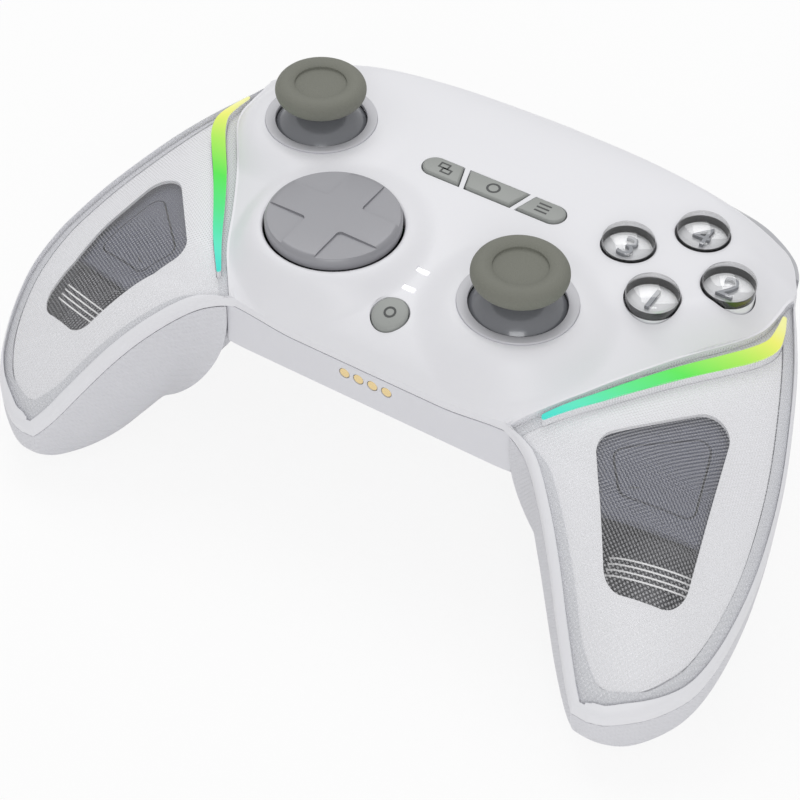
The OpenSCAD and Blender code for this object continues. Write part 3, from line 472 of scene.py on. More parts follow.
def plastic(name, color, rough, grain, bump, vary=0.03, spread=0.06, pattern="noise", **sockets):
    """Moulded plastic: slow colour and gloss drift, with a fine surface grain."""
    mat = bpy.data.materials.new(name)
    mat.use_nodes = True
    nt = mat.node_tree
    bsdf = nt.nodes["Principled BSDF"]
    co = nt.nodes.new("ShaderNodeTexCoord").outputs["Object"]
    slow = nt.nodes.new("ShaderNodeTexNoise")
    slow.inputs["Scale"].default_value = 70
    slow.inputs["Detail"].default_value = 3
    link(nt, co, slow.inputs["Vector"])
    tint = nt.nodes.new("ShaderNodeMix")
    tint.data_type = "RGBA"
    tint.inputs[6].default_value = tuple(c * (1 - vary) for c in color[:3]) + (1,)
    tint.inputs[7].default_value = tuple(min(1, c * (1 + vary)) for c in color[:3]) + (1,)
    link(nt, slow.outputs[0], tint.inputs[0])
    link(nt, tint.outputs[2], bsdf.inputs["Base Color"])
    gloss = nt.nodes.new("ShaderNodeMapRange")
    gloss.inputs["To Min"].default_value = max(0.02, rough - spread)
    gloss.inputs["To Max"].default_value = rough + spread
    link(nt, slow.outputs[0], gloss.inputs["Value"])
    link(nt, gloss.outputs[0], bsdf.inputs["Roughness"])
    if pattern == "noise":
        fine = nt.nodes.new("ShaderNodeTexNoise")
        fine.inputs["Scale"].default_value = 1000 / grain
        fine.inputs["Detail"].default_value = 2
        link(nt, co, fine.inputs["Vector"])
        height = fine.outputs[0]
    elif pattern == "dots":
        fine = nt.nodes.new("ShaderNodeTexVoronoi")
        fine.inputs["Scale"].default_value = 1000 / grain
        fine.inputs["Randomness"].default_value = 0.15
        link(nt, co, fine.inputs["Vector"])
        height = fine.outputs["Distance"]
    else:
        waves = []
        for sign in (1, -1):
            turn = nt.nodes.new("ShaderNodeMapping")
            turn.inputs["Scale"].default_value = (sign, 1, 1)
            link(nt, co, turn.inputs["Vector"])
            wave = nt.nodes.new("ShaderNodeTexWave")
            wave.bands_direction = "DIAGONAL"
            wave.inputs["Scale"].default_value = 360 / grain
            link(nt, turn.outputs[0], wave.inputs["Vector"])
            waves.append(wave.outputs["Fac"])
        height = combine(nt, "MULTIPLY", *waves)
    relief = nt.nodes.new("ShaderNodeBump")
    relief.inputs["Strength"].default_value = bump
    relief.inputs["Distance"].default_value = 0.0002
    link(nt, height, relief.inputs["Height"])
    link(nt, relief.outputs[0], bsdf.inputs["Normal"])
    for k, v in sockets.items():
        bsdf.inputs[k.replace("_", " ")].default_value = v
    return mat


def clear(name, color, rough, haze, edge, **sockets):
    """Clear plastic: see-through, with its dark base colour and gloss taking over where it turns away as a
    painted dark reflection, and a glossy lobe over all.
    """
    mat = plastic(name, color, rough, 0.6, 0.004, 0.01, 0.01, **sockets)
    nt = mat.node_tree
    bsdf = nt.nodes["Principled BSDF"]
    gloss = nt.nodes.new("ShaderNodeLayerWeight")
    gloss.inputs["Blend"].default_value = 0.22
    body = nt.nodes.new("ShaderNodeMapRange")
    body.inputs["To Min"].default_value = haze
    body.inputs["To Max"].default_value = edge
    link(nt, gloss.outputs["Facing"], body.inputs["Value"])
    glass = nt.nodes.new("ShaderNodeBsdfTransparent")
    # The dark base colour towards grazing edges is a painted dark reflection.
    blend = nt.nodes.new("ShaderNodeMixShader")
    link(nt, body.outputs[0], blend.inputs[0])
    link(nt, glass.outputs[0], blend.inputs[1])
    link(nt, bsdf.outputs[0], blend.inputs[2])
    shine = nt.nodes.new("ShaderNodeBsdfGlossy")
    shine.inputs["Color"].default_value = (0.07, 0.07, 0.07, 1)
    shine.inputs["Roughness"].default_value = 0.03
    total = nt.nodes.new("ShaderNodeAddShader")
    link(nt, blend.outputs[0], total.inputs[0])
    link(nt, shine.outputs[0], total.inputs[1])
    link(nt, total.outputs[0], nt.nodes["Material Output"].inputs["Surface"])
    return mat


def dots(nt, pitch):
    """Distance from the middle of small dots that lie in rows over the plan."""
    turn = nt.nodes.new("ShaderNodeMapping")
    turn.inputs["Rotation"].default_value = (0, 0, 0.6)
    turn.inputs["Scale"].default_value = (1000 / pitch, 1200 / pitch, 1)
    link(nt, nt.nodes.new("ShaderNodeTexCoord").outputs["Object"], turn.inputs["Vector"])
    cell = nt.nodes.new("ShaderNodeTexVoronoi")
    cell.voronoi_dimensions = "2D"
    cell.inputs["Scale"].default_value = 1
    cell.inputs["Randomness"].default_value = 0
    link(nt, turn.outputs[0], cell.inputs["Vector"])
    return cell.outputs["Distance"]


def frosted(name, color, rough, pitch, low, high):
    """Clear cover with small dots in rows, whiter and less clear than the rest: painted highlights of the
    dots.
    """
    mat = plastic(name, color, rough, 0.4, 0.05, 0.01)
    nt = mat.node_tree
    # Dots whiter and more opaque: painted highlights.
    body = nt.nodes.new("ShaderNodeMapRange")
    for k, v in (("From Min", 0.2), ("From Max", 0.36), ("To Min", high), ("To Max", low)):
        body.inputs[k].default_value = v
    link(nt, dots(nt, pitch), body.inputs["Value"])
    link(nt, body.outputs[0], nt.nodes["Principled BSDF"].inputs["Alpha"])
    return mat


def glow(name, stops, strength):
    """Milky light guide whose colour runs along the strip."""
    mat = plastic(name, (0.03, 0.03, 0.03), 0.35, 0.3, 0.05, Emission_Strength=strength)
    nt = mat.node_tree
    bsdf = nt.nodes["Principled BSDF"]
    co = nt.nodes.new("ShaderNodeTexCoord").outputs["Object"]
    parts = nt.nodes.new("ShaderNodeSeparateXYZ")
    link(nt, co, parts.inputs[0])
    along = nt.nodes.new("ShaderNodeMapRange")
    along.inputs["From Min"].default_value = -0.0205
    along.inputs["From Max"].default_value = 0.0215
    link(nt, parts.outputs[1], along.inputs["Value"])
    colours = nt.nodes.new("ShaderNodeValToRGB")
    el = colours.color_ramp.elements
    while len(el) < len(stops):
        el.new(0.5)
    for e, (p, c) in zip(el, stops):
        e.position = p
        e.color = c
    link(nt, along.outputs[0], colours.inputs[0])
    link(nt, colours.outputs[0], bsdf.inputs["Emission Color"])
    return mat


LIGHT_STOPS = [(0, rgb(40, 222, 205)), (0.3, rgb(40, 224, 120)), (0.5, rgb(56, 226, 44)),
               (0.72, rgb(170, 234, 70)), (0.9, rgb(238, 240, 105)), (1, rgb(242, 242, 160))]
M = {
    "shell_white": plastic("shell_white", rgb(236, 236, 240), 0.42, 0.25, 0.06, 0.01),
    "shell_grey": plastic("shell_grey", rgb(228, 228, 233), 0.45, 0.25, 0.08, 0.015),
    "grip_grey": plastic("grip_grey", rgb(222, 222, 227), 0.5, 0.65, 0.45, 0.02, pattern="knurl"),
    # Grip covers: the white dots are painted highlights of their dot texture.
    "cover_clear": frosted("cover_clear", rgb(240, 240, 243), 0.3, 0.62, 0.04, 0.25),
    "liner_white": plastic("liner_white", rgb(238, 238, 241), 0.5, 0.3, 0.05, 0.01),
    # Grey of the cover's border band: painted shade.
    "band_grey": plastic("band_grey", rgb(216, 217, 221), 0.5, 0.4, 0.2, 0.03, pattern="dots"),
    "smoke": plastic("smoke", rgb(52, 53, 60), 0.2, 0.5, 0.1, 0.05, pattern="dots", Alpha=0.1),
    "inner_dark": plastic("inner_dark", rgb(58, 58, 62), 0.6, 0.5, 0.2, 0.1),
    "chassis_grey": plastic("chassis_grey", rgb(112, 115, 132), 0.4, 0.3, 0.15, 0.04),
    "motor_steel": plastic("motor_steel", rgb(104, 104, 108), 0.3, 0.2, 0.1, 0.05, Metallic=0.7),
    "ring_grey": plastic("ring_grey", rgb(204, 204, 209), 0.38, 0.3, 0.04, 0.02),
    "cap_rubber": plastic("cap_rubber", rgb(124, 125, 116), 0.72, 0.3, 0.6, 0.08),
    "stem_grey": plastic("stem_grey", rgb(126, 128, 133), 0.2, 0.4, 0.03, 0.04, Metallic=0.2,
                         Coat_Weight=0.6),
    "inner_grey": plastic("inner_grey", rgb(90, 90, 94), 0.55, 0.3, 0.1, 0.04),
    "dpad_satin": plastic("dpad_satin", rgb(152, 152, 157), 0.36, 0.2, 0.06, 0.02, Metallic=0.1),
    # Face buttons: the dark base colour shows as a painted dark reflection round their rims.
    "button_clear": clear("button_clear", rgb(30, 31, 34), 0.03, 0.02, 0.95, Coat_Weight=1.0,
                          Coat_Roughness=0.02),
    # Near-black ring colour inside the buttons: a painted dark reflection.
    "button_painted_reflection": plastic("button_painted_reflection", rgb(14, 14, 16), 0.25, 0.25, 0.05, 0.05),
    "menu_grey": plastic("menu_grey", rgb(156, 159, 156), 0.42, 0.25, 0.1, 0.03),
    "icon_dark": plastic("icon_dark", rgb(72, 74, 74), 0.5, 0.25, 0.1, 0.05),
    "mark_grey": plastic("mark_grey", rgb(136, 139, 145), 0.2, 0.25, 0.03, 0.05),
    "mark_pale": plastic("mark_pale", rgb(238, 239, 242), 0.16, 0.25, 0.03, 0.05),
    "bumper_gloss": plastic("bumper_gloss", rgb(190, 191, 195), 0.12, 0.4, 0.02, 0.02, Coat_Weight=0.6),
    "trigger_grey": plastic("trigger_grey", rgb(214, 214, 219), 0.45, 0.25, 0.1, 0.02),
    "steel": plastic("steel", rgb(178, 178, 182), 0.3, 0.2, 0.08, 0.04, Metallic=1.0),
    "membrane_rubber": plastic("membrane_rubber", rgb(205, 205, 200), 0.6, 0.3, 0.1, 0.03),
    "board_green": plastic("board_green", rgb(34, 92, 58), 0.35, 0.5, 0.1, 0.12),
    "battery_wrap": plastic("battery_wrap", rgb(120, 138, 165), 0.35, 0.6, 0.1, 0.05),
    "contact_gold": plastic("contact_gold", rgb(236, 212, 160), 0.28, 0.2, 0.05, 0.05, Metallic=1.0),
    "light_glow": glow("light_glow", LIGHT_STOPS, 0.95),
    # White that glows: the indicator's own light, and a painted glow on the motor's rings.
    "led_white": plastic("led_white", rgb(250, 250, 250), 0.3, 0.3, 0.03, 0.01, Emission_Color=(1, 1, 1, 1),
                         Emission_Strength=0.35),
}

# CAD nodes that stay take the material of their slot, apart from these
OWN_LOOK = {"indicator_pipe": "led_white", "left_trigger_bracket": "trigger_grey",
            "right_trigger_bracket": "trigger_grey"}
slot_of = {p["node"]: p["material_slot"] for p in frame["record"]["subparts"]}
for name, ob in nodes.items():
    ob.data.materials.clear()
    ob.data.materials.append(M[OWN_LOOK.get(name, slot_of[name])])


# Front shell: face with its openings, and the rims round the grip covers
def rounding(d, r):
    """Drop of a rounded edge at a distance from it."""
    c = np.clip(d, 0, r)
    return r - np.sqrt(np.maximum(r * r - (r - c)**2, 0))


def nearest(x, y, line):
    """Plan distance from points to a line of points."""
    p = np.stack([x.ravel(), y.ravel()], -1)
    a, b = line[:-1], line[1:]
    d = b - a
    best = np.full(len(p), 1e9)
    for i in range(len(a)):
        t = np.clip(((p - a[i]) @ d[i]) / max(d[i] @ d[i], 1e-9), 0, 1)
        q = a[i] + t[:, None] * d[i]
        best = np.minimum(best, np.hypot(*(p - q).T))
    return best.reshape(x.shape)


face_rows = rows((FRONT, FRONT + 6, 24), (FRONT + 6, REAR - 9, 84), (REAR - 9, REAR, 30))


def hollow(x, y):
    """Under side of the face, with a wall round it that reaches the seam."""
    inside = (border(y) - np.abs(x) > WALL) & (y > FRONT + WALL) & (y < REAR - WALL)
    return np.where(inside, face(x, y) - WALL, split(x, y))


shell = make("front_shell_face", deck(face_rows, lambda y: -border(y), border, face, hollow, 170),
             M["shell_white"], stands=["front_shell"])


def drill(cx, cy, r, z, flare):
    """Round tool with a rounded mouth at a height."""
    return lathe([(r, -24), (r, z - flare), (r + flare * 0.35, z - flare * 0.35), (r + flare, z),
                  (r + flare, 8)], (cx, cy, 0))


def bar_plan(i, grow):
    """Plan of the left (-1), middle (0) or right (1) key of the menu bar."""
    r = BAR_W / 2 + grow
    if i == 0:
        top, low = HOME_TOP + grow, HOME_LOW + grow
        return [(-top, r), (top, r), (low, -r), (-low, -r)]
    lean = (HOME_TOP - HOME_LOW) / BAR_W * grow
    low = (HOME_LOW + BAR_GAP - grow - lean, -r)
    high = (HOME_TOP + BAR_GAP - grow + lean, r)
    pts = [low] + arc((BAR_LEN - BAR_W) / 2, 0, r, -90, 90, 25) + [high]
    return pts if i > 0 else [(-x, y) for x, y in pts[::-1]]


def bar_key(i, grow):
    return [(x, y + BAR_Y) for x, y in bar_plan(i, grow)]


def slope(shape):
    """Lean a shape at the macro button with the face there."""
    v = np.array(shape[0], float)
    v[:, 2] += np.where(v[:, 2] > -7, 0.27 * (v[:, 1] - MACRO_Y), 0)
    return v, shape[1]


buttons = {"south": (OUT_X, OUT_Y - BUTTON_STEP), "east": (OUT_X + BUTTON_STEP, OUT_Y),
           "west": (OUT_X - BUTTON_STEP, OUT_Y), "north": (OUT_X, OUT_Y + BUTTON_STEP)}
tools = [drill(-OUT_X, OUT_Y, RING_R + 0.03, PAD_Z, 0.05), drill(IN_X, -IN_Y, RING_R + 0.03, PAD_Z, 0.05),
         drill(-IN_X, -IN_Y, DPAD_R + 0.35, PAD_Z, 0.5)]
tools += [drill(x, y, FACE_R + BUTTON_GAP, PAD_Z, 0.3) for x, y in buttons.values()]
tools.append(slope(drill(0, MACRO_Y, MACRO_R + BUTTON_GAP, -4.2, 0.25)))
tools += [prism(bar_key(i, BUTTON_GAP), *FACE_CUT) for i in (-1, 0, 1)]
tools += [prism(box(-DASH_X, y - DASH_Y, DASH_X, y + DASH_Y), *FACE_CUT) for y in DASHES]


def bumper_top(x):
    """Height of a bumper, which falls outwards."""
    return mix(-5.2, -9.2, (x - 28) / 28)


for s in (-1, 1):
    tools.append(mirrored(deck(rows((33, 52, 12)), line_at(BAY[0]), line_at(62),
                               lambda x, y: bumper_top(x) + 0.4, level(-24), 12), s))
carve(shell, tools)

grip_rows = rows((-GRIP, -GRIP + 3, 26), (-GRIP + 3, FRONT, 44), (FRONT, GRIP_END, 70))
edge_y = rows((-GRIP, -GRIP + 4, 50), (-GRIP + 4, FRONT, 60))
outline = np.concatenate([np.stack([grip_in(edge_y), edge_y], -1)[::-1],
                          np.stack([x_out(grip_rows), grip_rows], -1)])


def rim_top(x, y):
    return sheet(x, y) - rounding(nearest(x, y, outline), 0.8)


rim_deck = deck(grip_rows, lambda y: grip_in(y) - np.where(y < FRONT, 0, 0.8), x_out, rim_top, split,
                70, True)
recess_rows = rows((-GRIP + 0.8, -GRIP + 4, 28), (-GRIP + 4, FRONT, 44), (FRONT, COVER_END, 60))
recess = deck(recess_rows, cover_in, cover_out, under(-4),
              under(COVER_T + 0.3), 60)
bed = deck(rows((LINER_LOW - 0.25, FRONT, 60), (FRONT, LINER_HIGH + 0.25, 60)), lambda y: liner_in(y) - 0.25,
           lambda y: liner_out(y) + 0.25, under(-4),
           under(COVER_T + LINER_T + 0.3), 60)
well = deck(rows((LINER_LOW + 2.4, FRONT, 40), (FRONT, LINER_HIGH - 2.5, 40)),
            lambda y: liner_in(y) + mix(1.8, 1.2, ramp(y)),
            lambda y: np.maximum(liner_out(y) - 1.4, liner_in(y) + 2.4),
            under(-4), under(20), 20)

# Covers, white liners, light guides and windows
WINDOW = [(48.5, -21.2), (59.0, -8.9), (64.6, -32.9), (58.2, -34.9)]
# Middle line of the light strip with its share of the half width
STRIP_HALF = 1.4
STRIP = [(34.5, -23.2, 0.32), (39.5, -16.6, 0.6), (44.9, -8.6, 0.8), (50.3, -1, 0.94), (55.6, 5.8, 1),
         (58.6, 10, 1), (60.3, 13.9, 0.86), (60.1, 17.6, 0.62), (59.3, 21, 0.3)]


def hull_plan(pts, r, n=14):
    """Outline of round discs at the corners of a convex plan."""
    p = np.array(pts)
    c = p.mean(0)
    order = np.argsort(np.arctan2(p[:, 1] - c[1], p[:, 0] - c[0]))
    p = p[order]
    out = []
    m = len(p)
    for i in range(m):
        e0, e1 = p[i] - p[i - 1], p[(i + 1) % m] - p[i]
        a0 = math.atan2(-e0[0], e0[1])
        a1 = math.atan2(-e1[0], e1[1])
        while a1 < a0:
            a1 += 2 * math.pi
        for t in np.linspace(a0, a1, n):
            out.append((p[i][0] + r * math.cos(t), p[i][1] + r * math.sin(t)))
    return out


def strip_plan(grow):
    """Outline of the tapered light strip."""
    t = np.linspace(0, len(STRIP) - 1, 70)
    x, y, share = [curve(t, list(enumerate(column))) for column in np.array(STRIP).T]
    w = STRIP_HALF * share + grow
    d = np.stack([np.gradient(x), np.gradient(y)], -1)
    d /= np.linalg.norm(d, axis=1)[:, None]
    lft = np.stack([x - d[:, 1] * w, y + d[:, 0] * w], -1)
    rgt = np.stack([x + d[:, 1] * w, y - d[:, 0] * w], -1)
    tips = []
    for i, sign in ((-1, 1), (0, -1)):
        a = np.linspace(-np.pi / 2, np.pi / 2, 11)[1:-1, None]
        side = np.array([-d[i, 1], d[i, 0]])
        tips.append(np.array([x[i], y[i]]) + w[i] * sign * (np.cos(a) * d[i] + np.sin(a) * side))
    return np.concatenate([rgt, tips[0], lft[::-1], tips[1]])


cover_rows = rows((-GRIP + 0.95, -GRIP + 5, 34), (-GRIP + 5, FRONT, 50),
                  (FRONT, COVER_END - 3, 60), (COVER_END - 3, COVER_END - 0.3, 14))


def tip_round(y, start, a, b):
    """How far the rounded tip of a cover draws in on each side."""
    t = np.clip((np.asarray(y) - start) / 3.4, 0, 1)
    return 0.42 * np.maximum(b - a, 0.4) * (1 - np.sqrt(1 - (1 - t)**2))


def clear_in(y):
    a, b = cover_in(y) + 0.12, cover_out(y) - 0.3
    return a + tip_round(y, cover_rows[0], a, b)


def clear_out(y):
    a, b = cover_in(y) + 0.12, cover_out(y) - mix(0.4, 0.12, ease((np.asarray(y) + GRIP - 2) / 4))
    return np.maximum(b, a + 0.5) - tip_round(y, cover_rows[0], a, b)


cover_line = np.concatenate([np.stack([clear_in(cover_rows), cover_rows], -1)[::-1],
                             np.stack([clear_out(cover_rows), cover_rows], -1),
                             [[float(clear_in(cover_rows[-1])), cover_rows[-1]]]])


def cover_top(x, y):
    return sheet(x, y) + 0.3 - rounding(nearest(x, y, cover_line), 1.1)


cover_deck = deck(cover_rows, clear_in, clear_out, cover_top, under(COVER_T), 80, True)

# Grey band along the edge of a cover, on its under side: painted shade for the dim, clear border.
band_rows = rows((cover_rows[0] + 3.0, cover_rows[0] + 7, 24), (cover_rows[0] + 7, FRONT, 30),
                 (FRONT, 17, 40))
band_in = clear_in(band_rows) + mix(2.7, 2.2, ramp(band_rows))
band_out = np.maximum(clear_out(band_rows) - 2.1, band_in + 0.5)
draw = tip_round(band_rows, band_rows[0], band_in, band_out)
band_line = np.concatenate([np.stack([band_in + draw, band_rows], -1)[::-1],
                            np.stack([band_out - draw, band_rows], -1)])
band_deck = deck(cover_rows, clear_in, clear_out, under(COVER_T + 0.05), under(COVER_T + 0.25), 60)

liner_rows = rows((LINER_LOW, LINER_LOW + 3, 24), (LINER_LOW + 3, FRONT, 44), (FRONT, LINER_HIGH, 60))
liner_deck = deck(liner_rows, liner_in, liner_out, under(COVER_T + 0.3), under(COVER_T + LINER_T), 60)
window_deck = deck(rows((-43, -3, 60)), lambda y: liner_in(y) + 0.3, lambda y: liner_out(y) - 0.3,
                   under(COVER_T + LINER_T + 0.1), under(COVER_T + LINER_T + 0.4), 40)
# Glowing top of the light guide and its white root: piece, material, top and bottom depths
GUIDE = (("strip", "light_glow", -0.28, 0.1), ("strip_root", "liner_white", 0.1, COVER_T + LINER_T))

# Inner plate under a window, with its inset panel, motor clip and feet
PANEL = [(49.3, -20.6), (59.0, -11.0), (61.7, -21.1), (52.0, -23.8)]
PLATE_END = [(40, -33.5), (50.5, -30.1), (67.4, -24.6), (80, -20.5), (80, -60), (40, -60)]
MOTOR = np.array([61.0, -29.0, -28.5])
MOTOR_TILT, MOTOR_TURN = math.radians(33), math.radians(12)
MOTOR_AXIS = np.array([math.sin(MOTOR_TURN) * math.cos(MOTOR_TILT),
                       -math.cos(MOTOR_TURN) * math.cos(MOTOR_TILT), -math.sin(MOTOR_TILT)])
MOTOR_SIDE = np.array([math.cos(MOTOR_TURN), math.sin(MOTOR_TURN), 0.0])


def on_motor(shape):
    """Move a shape made about z onto the motor's axis."""
    v = np.asarray(shape[0], float)
    up = np.cross(MOTOR_AXIS, MOTOR_SIDE)
    return MOTOR + v[:, :1] * MOTOR_SIDE + v[:, 1:2] * up + v[:, 2:] * MOTOR_AXIS, shape[1]


plate_deck = deck(rows((-34, -3, 60)), lambda y: liner_in(y) + 0.5, lambda y: liner_out(y) - 0.5,
                  under(3.4), under(4.6), 40)
clip = on_motor(tube(6.6, 8.1, -6, 1.6))
feet = [lathe([(2.2, -31.9), (2.2, float(sheet(np.array(x), np.array(y))) - 4.4)], (x, y, 0), 32)
        for x, y in ((52.0, -22.0), (67.0, -14.0))]
# Four thin white rings round the motor, with a painted glow.
painted_glow_rings = join(*[on_motor(tube(8.05, 8.3, d, d + 0.28, n=96)) for d in (-2.0, -0.95, 0.1, 1.15)])
# Dark sheet over the inside of a grip back: painted shade of the hollow seen through the window.
painted_shade_lining = deck(rows((-47, -4, 40)), lambda y: back_in(y) + WALL + 0.6,
              lambda y: np.maximum(x_out(y) - WALL - 1.2, back_in(y) + WALL + 2.0),
              lambda x, y: grip_low(x, y) + WALL + 0.6, lambda x, y: grip_low(x, y) + WALL + 0.3, 40)

for s, side in SIDES:
    plate = make(f"{side}_plate", mirrored(plate_deck, s), M["chassis_grey"], stands=[f"{side}_chassis"])
    carve(plate, [through(hull_plan(WINDOW, 6.3), s)], "INTERSECT")
    carve(plate, [through(PLATE_END, s), through(hull_plan(PANEL, 2.15), s)])
    panel = make(f"{side}_panel", mirrored(plate_deck, s), M["chassis_grey"])
    carve(panel, [through(hull_plan(PANEL, 1.75), s)], "INTERSECT")
    make(f"{side}_clip", mirrored(join(clip, *feet), s), M["inner_dark"])
    # White motor rings with a painted glow.
    make(f"{side}_wires", mirrored(painted_glow_rings, s), M["led_white"])
    # Painted shade inside the grip.
    make(f"{side}_lining", mirrored(painted_shade_lining, s), M["inner_dark"])
    rim = make(f"{side}_rim", mirrored(rim_deck, s), M["shell_white"])
    carve(rim, [mirrored(recess, s), mirrored(bed, s), mirrored(well, s)])
    cover = make(f"{side}_cover", mirrored(cover_deck, s), M["cover_clear"], stands=[f"{side}_grip_cover"])
    carve(cover, [through(strip_plan(0.03), s)])
    # Grey band with painted shade under the cover's clear border.
    shade_band = make(f"{side}_band", mirrored(band_deck, s), M["band_grey"])
    carve(shade_band, [through(band_line, s), through(strip_plan(0.03), s)])
    liner = make(f"{side}_liner", mirrored(liner_deck, s), M["liner_white"], stands=[f"{side}_grip_liner"])
    carve(liner, [through(hull_plan(WINDOW, 4.1), s), through(strip_plan(0.1), s)])
    for piece, mat, top, low in GUIDE:
        guide = deck(rows((-26, 24, 90)), lambda y: cover_in(y) + 0.4, lambda y: cover_out(y) - 0.4,
                     under(top), under(low), 40)
        ob = make(f"{side}_{piece}", mirrored(guide, s), M[mat],
                  stands=[f"{side}_light_guide"] if piece == "strip" else ())
        carve(ob, [through(strip_plan(0), s)], "INTERSECT")
    window = make(f"{side}_window", mirrored(window_deck, s), M["smoke"])
    carve(window, [through(hull_plan(WINDOW, 4.6), s)], "INTERSECT")


# Rear shell and textured grip backs
def drop(x, y):
    """Extra gap under the seam near a grip's inner line."""
    near = np.clip(1.4 - 2 * across(np.abs(x), y), 0, 1)
    return 0.8 * ease((y - FRONT) / 3) * ease((DIVIDE_END - y) / 6) * near


def back_top(x, y):
    return split(x, y) - SEAM - drop(x, y)


back_deck = deck(face_rows, lambda y: SEAM - divide(y), lambda y: divide(y) - SEAM, back_top, belly,
                 120, True)
back = make("rear_shell_back", back_deck, M["shell_grey"], stands=["rear_shell"])
REAR_KEY, KEY_TURN = (30.0, -4.0), math.radians(24)


def key_plan(grow):
    """Rounded rectangle of a rear key, turned with the grip."""
    c, s = math.cos(KEY_TURN), math.sin(KEY_TURN)
    corners = ((2.8, 5, 0), (-2.8, 5, 90), (-2.8, -5, 180), (2.8, -5, 270))
    pts = [p for x, y, a in corners for p in arc(x, y, grow, a, a + 90, 9)]
    return [(REAR_KEY[0] + x * c - y * s, REAR_KEY[1] + x * s + y * c) for x, y in pts]


# Hollow, trigger bays, key and screw holes, contact holes and the inlet's slot
tools = [deck(rows((FRONT + WALL, REAR - WALL, 60)), lambda y: WALL + SEAM - divide(y),
              lambda y: divide(y) - WALL - SEAM, level(5.0),
              lambda x, y: belly(x, y) + WALL, 60)]
for s in (-1, 1):
    tools.append(through(box(*BAY), s))
    tools.append(mirrored(prism(key_plan(1.2 + BUTTON_GAP), -60, -22), s))
    for x, y in SCREWS:
        tools.append(lathe([(2.6, -60), (2.6, -19), (1.45, -19), (1.45, -10)], (x * s, y, 0), 40))
for i in (-1.5, -0.5, 0.5, 1.5):
    v, f = lathe([(CONTACT_R, -1), (CONTACT_R, 6)], n=40)
    x, y, z = v[:, 0] + i * CONTACT_PITCH, v[:, 2] + FRONT, CONTACT_Z - v[:, 1]
    tools.append((np.stack([x, y, z], -1), f))
tools.append(prism(box(-INLET_HALF, REAR - 4, INLET_HALF, REAR + 4), INLET_LOW, INLET_TOP))
carve(back, tools)

back_rows = rows((-GRIP, -GRIP + 3, 26), (-GRIP + 3, FRONT, 44), (FRONT, BACK_END, 56))
grip = deck(back_rows, lambda y: back_in(y) + np.where(y < FRONT, 0, SEAM), x_out,
            back_top, grip_low, 80, True)
pit = deck(rows((-GRIP + WALL * 1.2, FRONT, 40), (FRONT, PIT_END, 40)), lambda y: back_in(y) + WALL + 0.1,
           lambda y: np.maximum(x_out(y) - WALL - 0.4, back_in(y) + WALL + 1.2), level(5.0),
           lambda x, y: grip_low(x, y) + WALL, 50, True)
for s, side in SIDES:
    ob = make(f"{side}_grip_back", mirrored(grip, s), M["grip_grey"], stands=[f"{side}_rear_grip"])
    carve(ob, [mirrored(pit, s)])


# Sticks: profiles of the cap, the stem with its dome skirt, and the ring
CAP_R, CAP_H, CAP_EDGE = 8.85, 6.8, 2.1
cap_line = [(0.02, 7.3), (2.0, 7.34), (3.6, 7.48), (4.6, 7.7), (5.0, 7.84), (5.04, 8.3), (5.2, 8.44),
            (5.7, 8.68)]
cap_line += arc(CAP_R - CAP_EDGE, CAP_H, CAP_EDGE, 108, -100, 26)
cap_line += [(5.6, 4.75), (4.2, 4.9), (2.25, 4.95), (0.02, 4.95)]
stem_line = [(0.02, 4.85), (3.15, 4.85), (3.2, 4.4), (3.24, 3.9), (3.36, 3.5), (3.6, 3.12), (4.0, 2.8),
             (4.5, 2.5)]
stem_line += arc(0, -8, 11.3, 63, 32, 18) + arc(0, -8, 9.4, 32, 78, 14) + [(1.8, -9.4), (0.02, -9.4)]
ring_line = [(RING_IN + 0.5, -1.3), (RING_IN, -0.8), (RING_IN, -0.3), (RING_IN + 0.05, -0.17),
             (RING_IN + 0.18, -0.1), (RING_R - 0.3, 0.12), (RING_R - 0.1, 0.08), (RING_R, -0.05),
             (RING_R, -1.3)]
for side, at in (("left", (-OUT_X, OUT_Y, 0)), ("right", (IN_X, -IN_Y, 0))):
    stick = f"{side}_stick"
    make(f"{side}_cap", lathe(cap_line, at, 128), M["cap_rubber"], stick, [f"{stick}_cap"])
    make(f"{side}_stem", lathe(stem_line, at, 128), M["stem_grey"], stick, [f"{stick}_stem"])
    make(f"{side}_ring", loop(ring_line, at), M["ring_grey"], "base", [f"{stick}_ring"])

# Direction pad: raised cross with four lower quarters
pad_line = [(0.02, 2.1), (6, 2.08), (11.3, 2.0)] + arc(DPAD_R - 1.3, 0.68, 1.3, 80, 0, 12)
pad_line += [(DPAD_R, -0.6), (2, -0.6), (2, -5.2), (0.02, -5.2)]
pad = make("dpad", lathe(pad_line, (-IN_X, -IN_Y, 0), 192), M["dpad_satin"], "dpad", ["dpad_disc"])
quarter = arc(4.5, 4.5, 0.9, 270, 180, 9) + [(3.6, 15), (15, 15), (15, 3.6)]
tools = [prism([(-IN_X + sx * x, -IN_Y + sy * y) for x, y in quarter], 1.66, 6)
         for sx, sy in ((1, 1), (-1, 1), (-1, -1), (1, -1))]
carve(pad, tools)


# Clear face buttons with plain numerals
def flat_text(body, size, depth, at, mat, name, ride_on):
    """Flat raised text that rides on a body."""
    c = bpy.data.curves.new(name, "FONT")
    c.body = body
    c.size = size / 1000
    c.extrude = depth / 2000
    c.align_x, c.align_y = "CENTER", "CENTER"
    ob = bpy.data.objects.new(name, c)
    bpy.context.scene.collection.objects.link(ob)
    deps = bpy.context.evaluated_depsgraph_get()
    me = bpy.data.meshes.new_from_object(ob.evaluated_get(deps))
    bpy.data.objects.remove(ob)
    me.transform(Matrix.Translation(Vector((np.array(at) + LIFT) / 1000)))
    ob = bpy.data.objects.new(name, me)
    bpy.context.scene.collection.objects.link(ob)
    ob.data.materials.clear()
    ob.data.materials.append(mat)
    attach(ob, ride_on)
    return ob


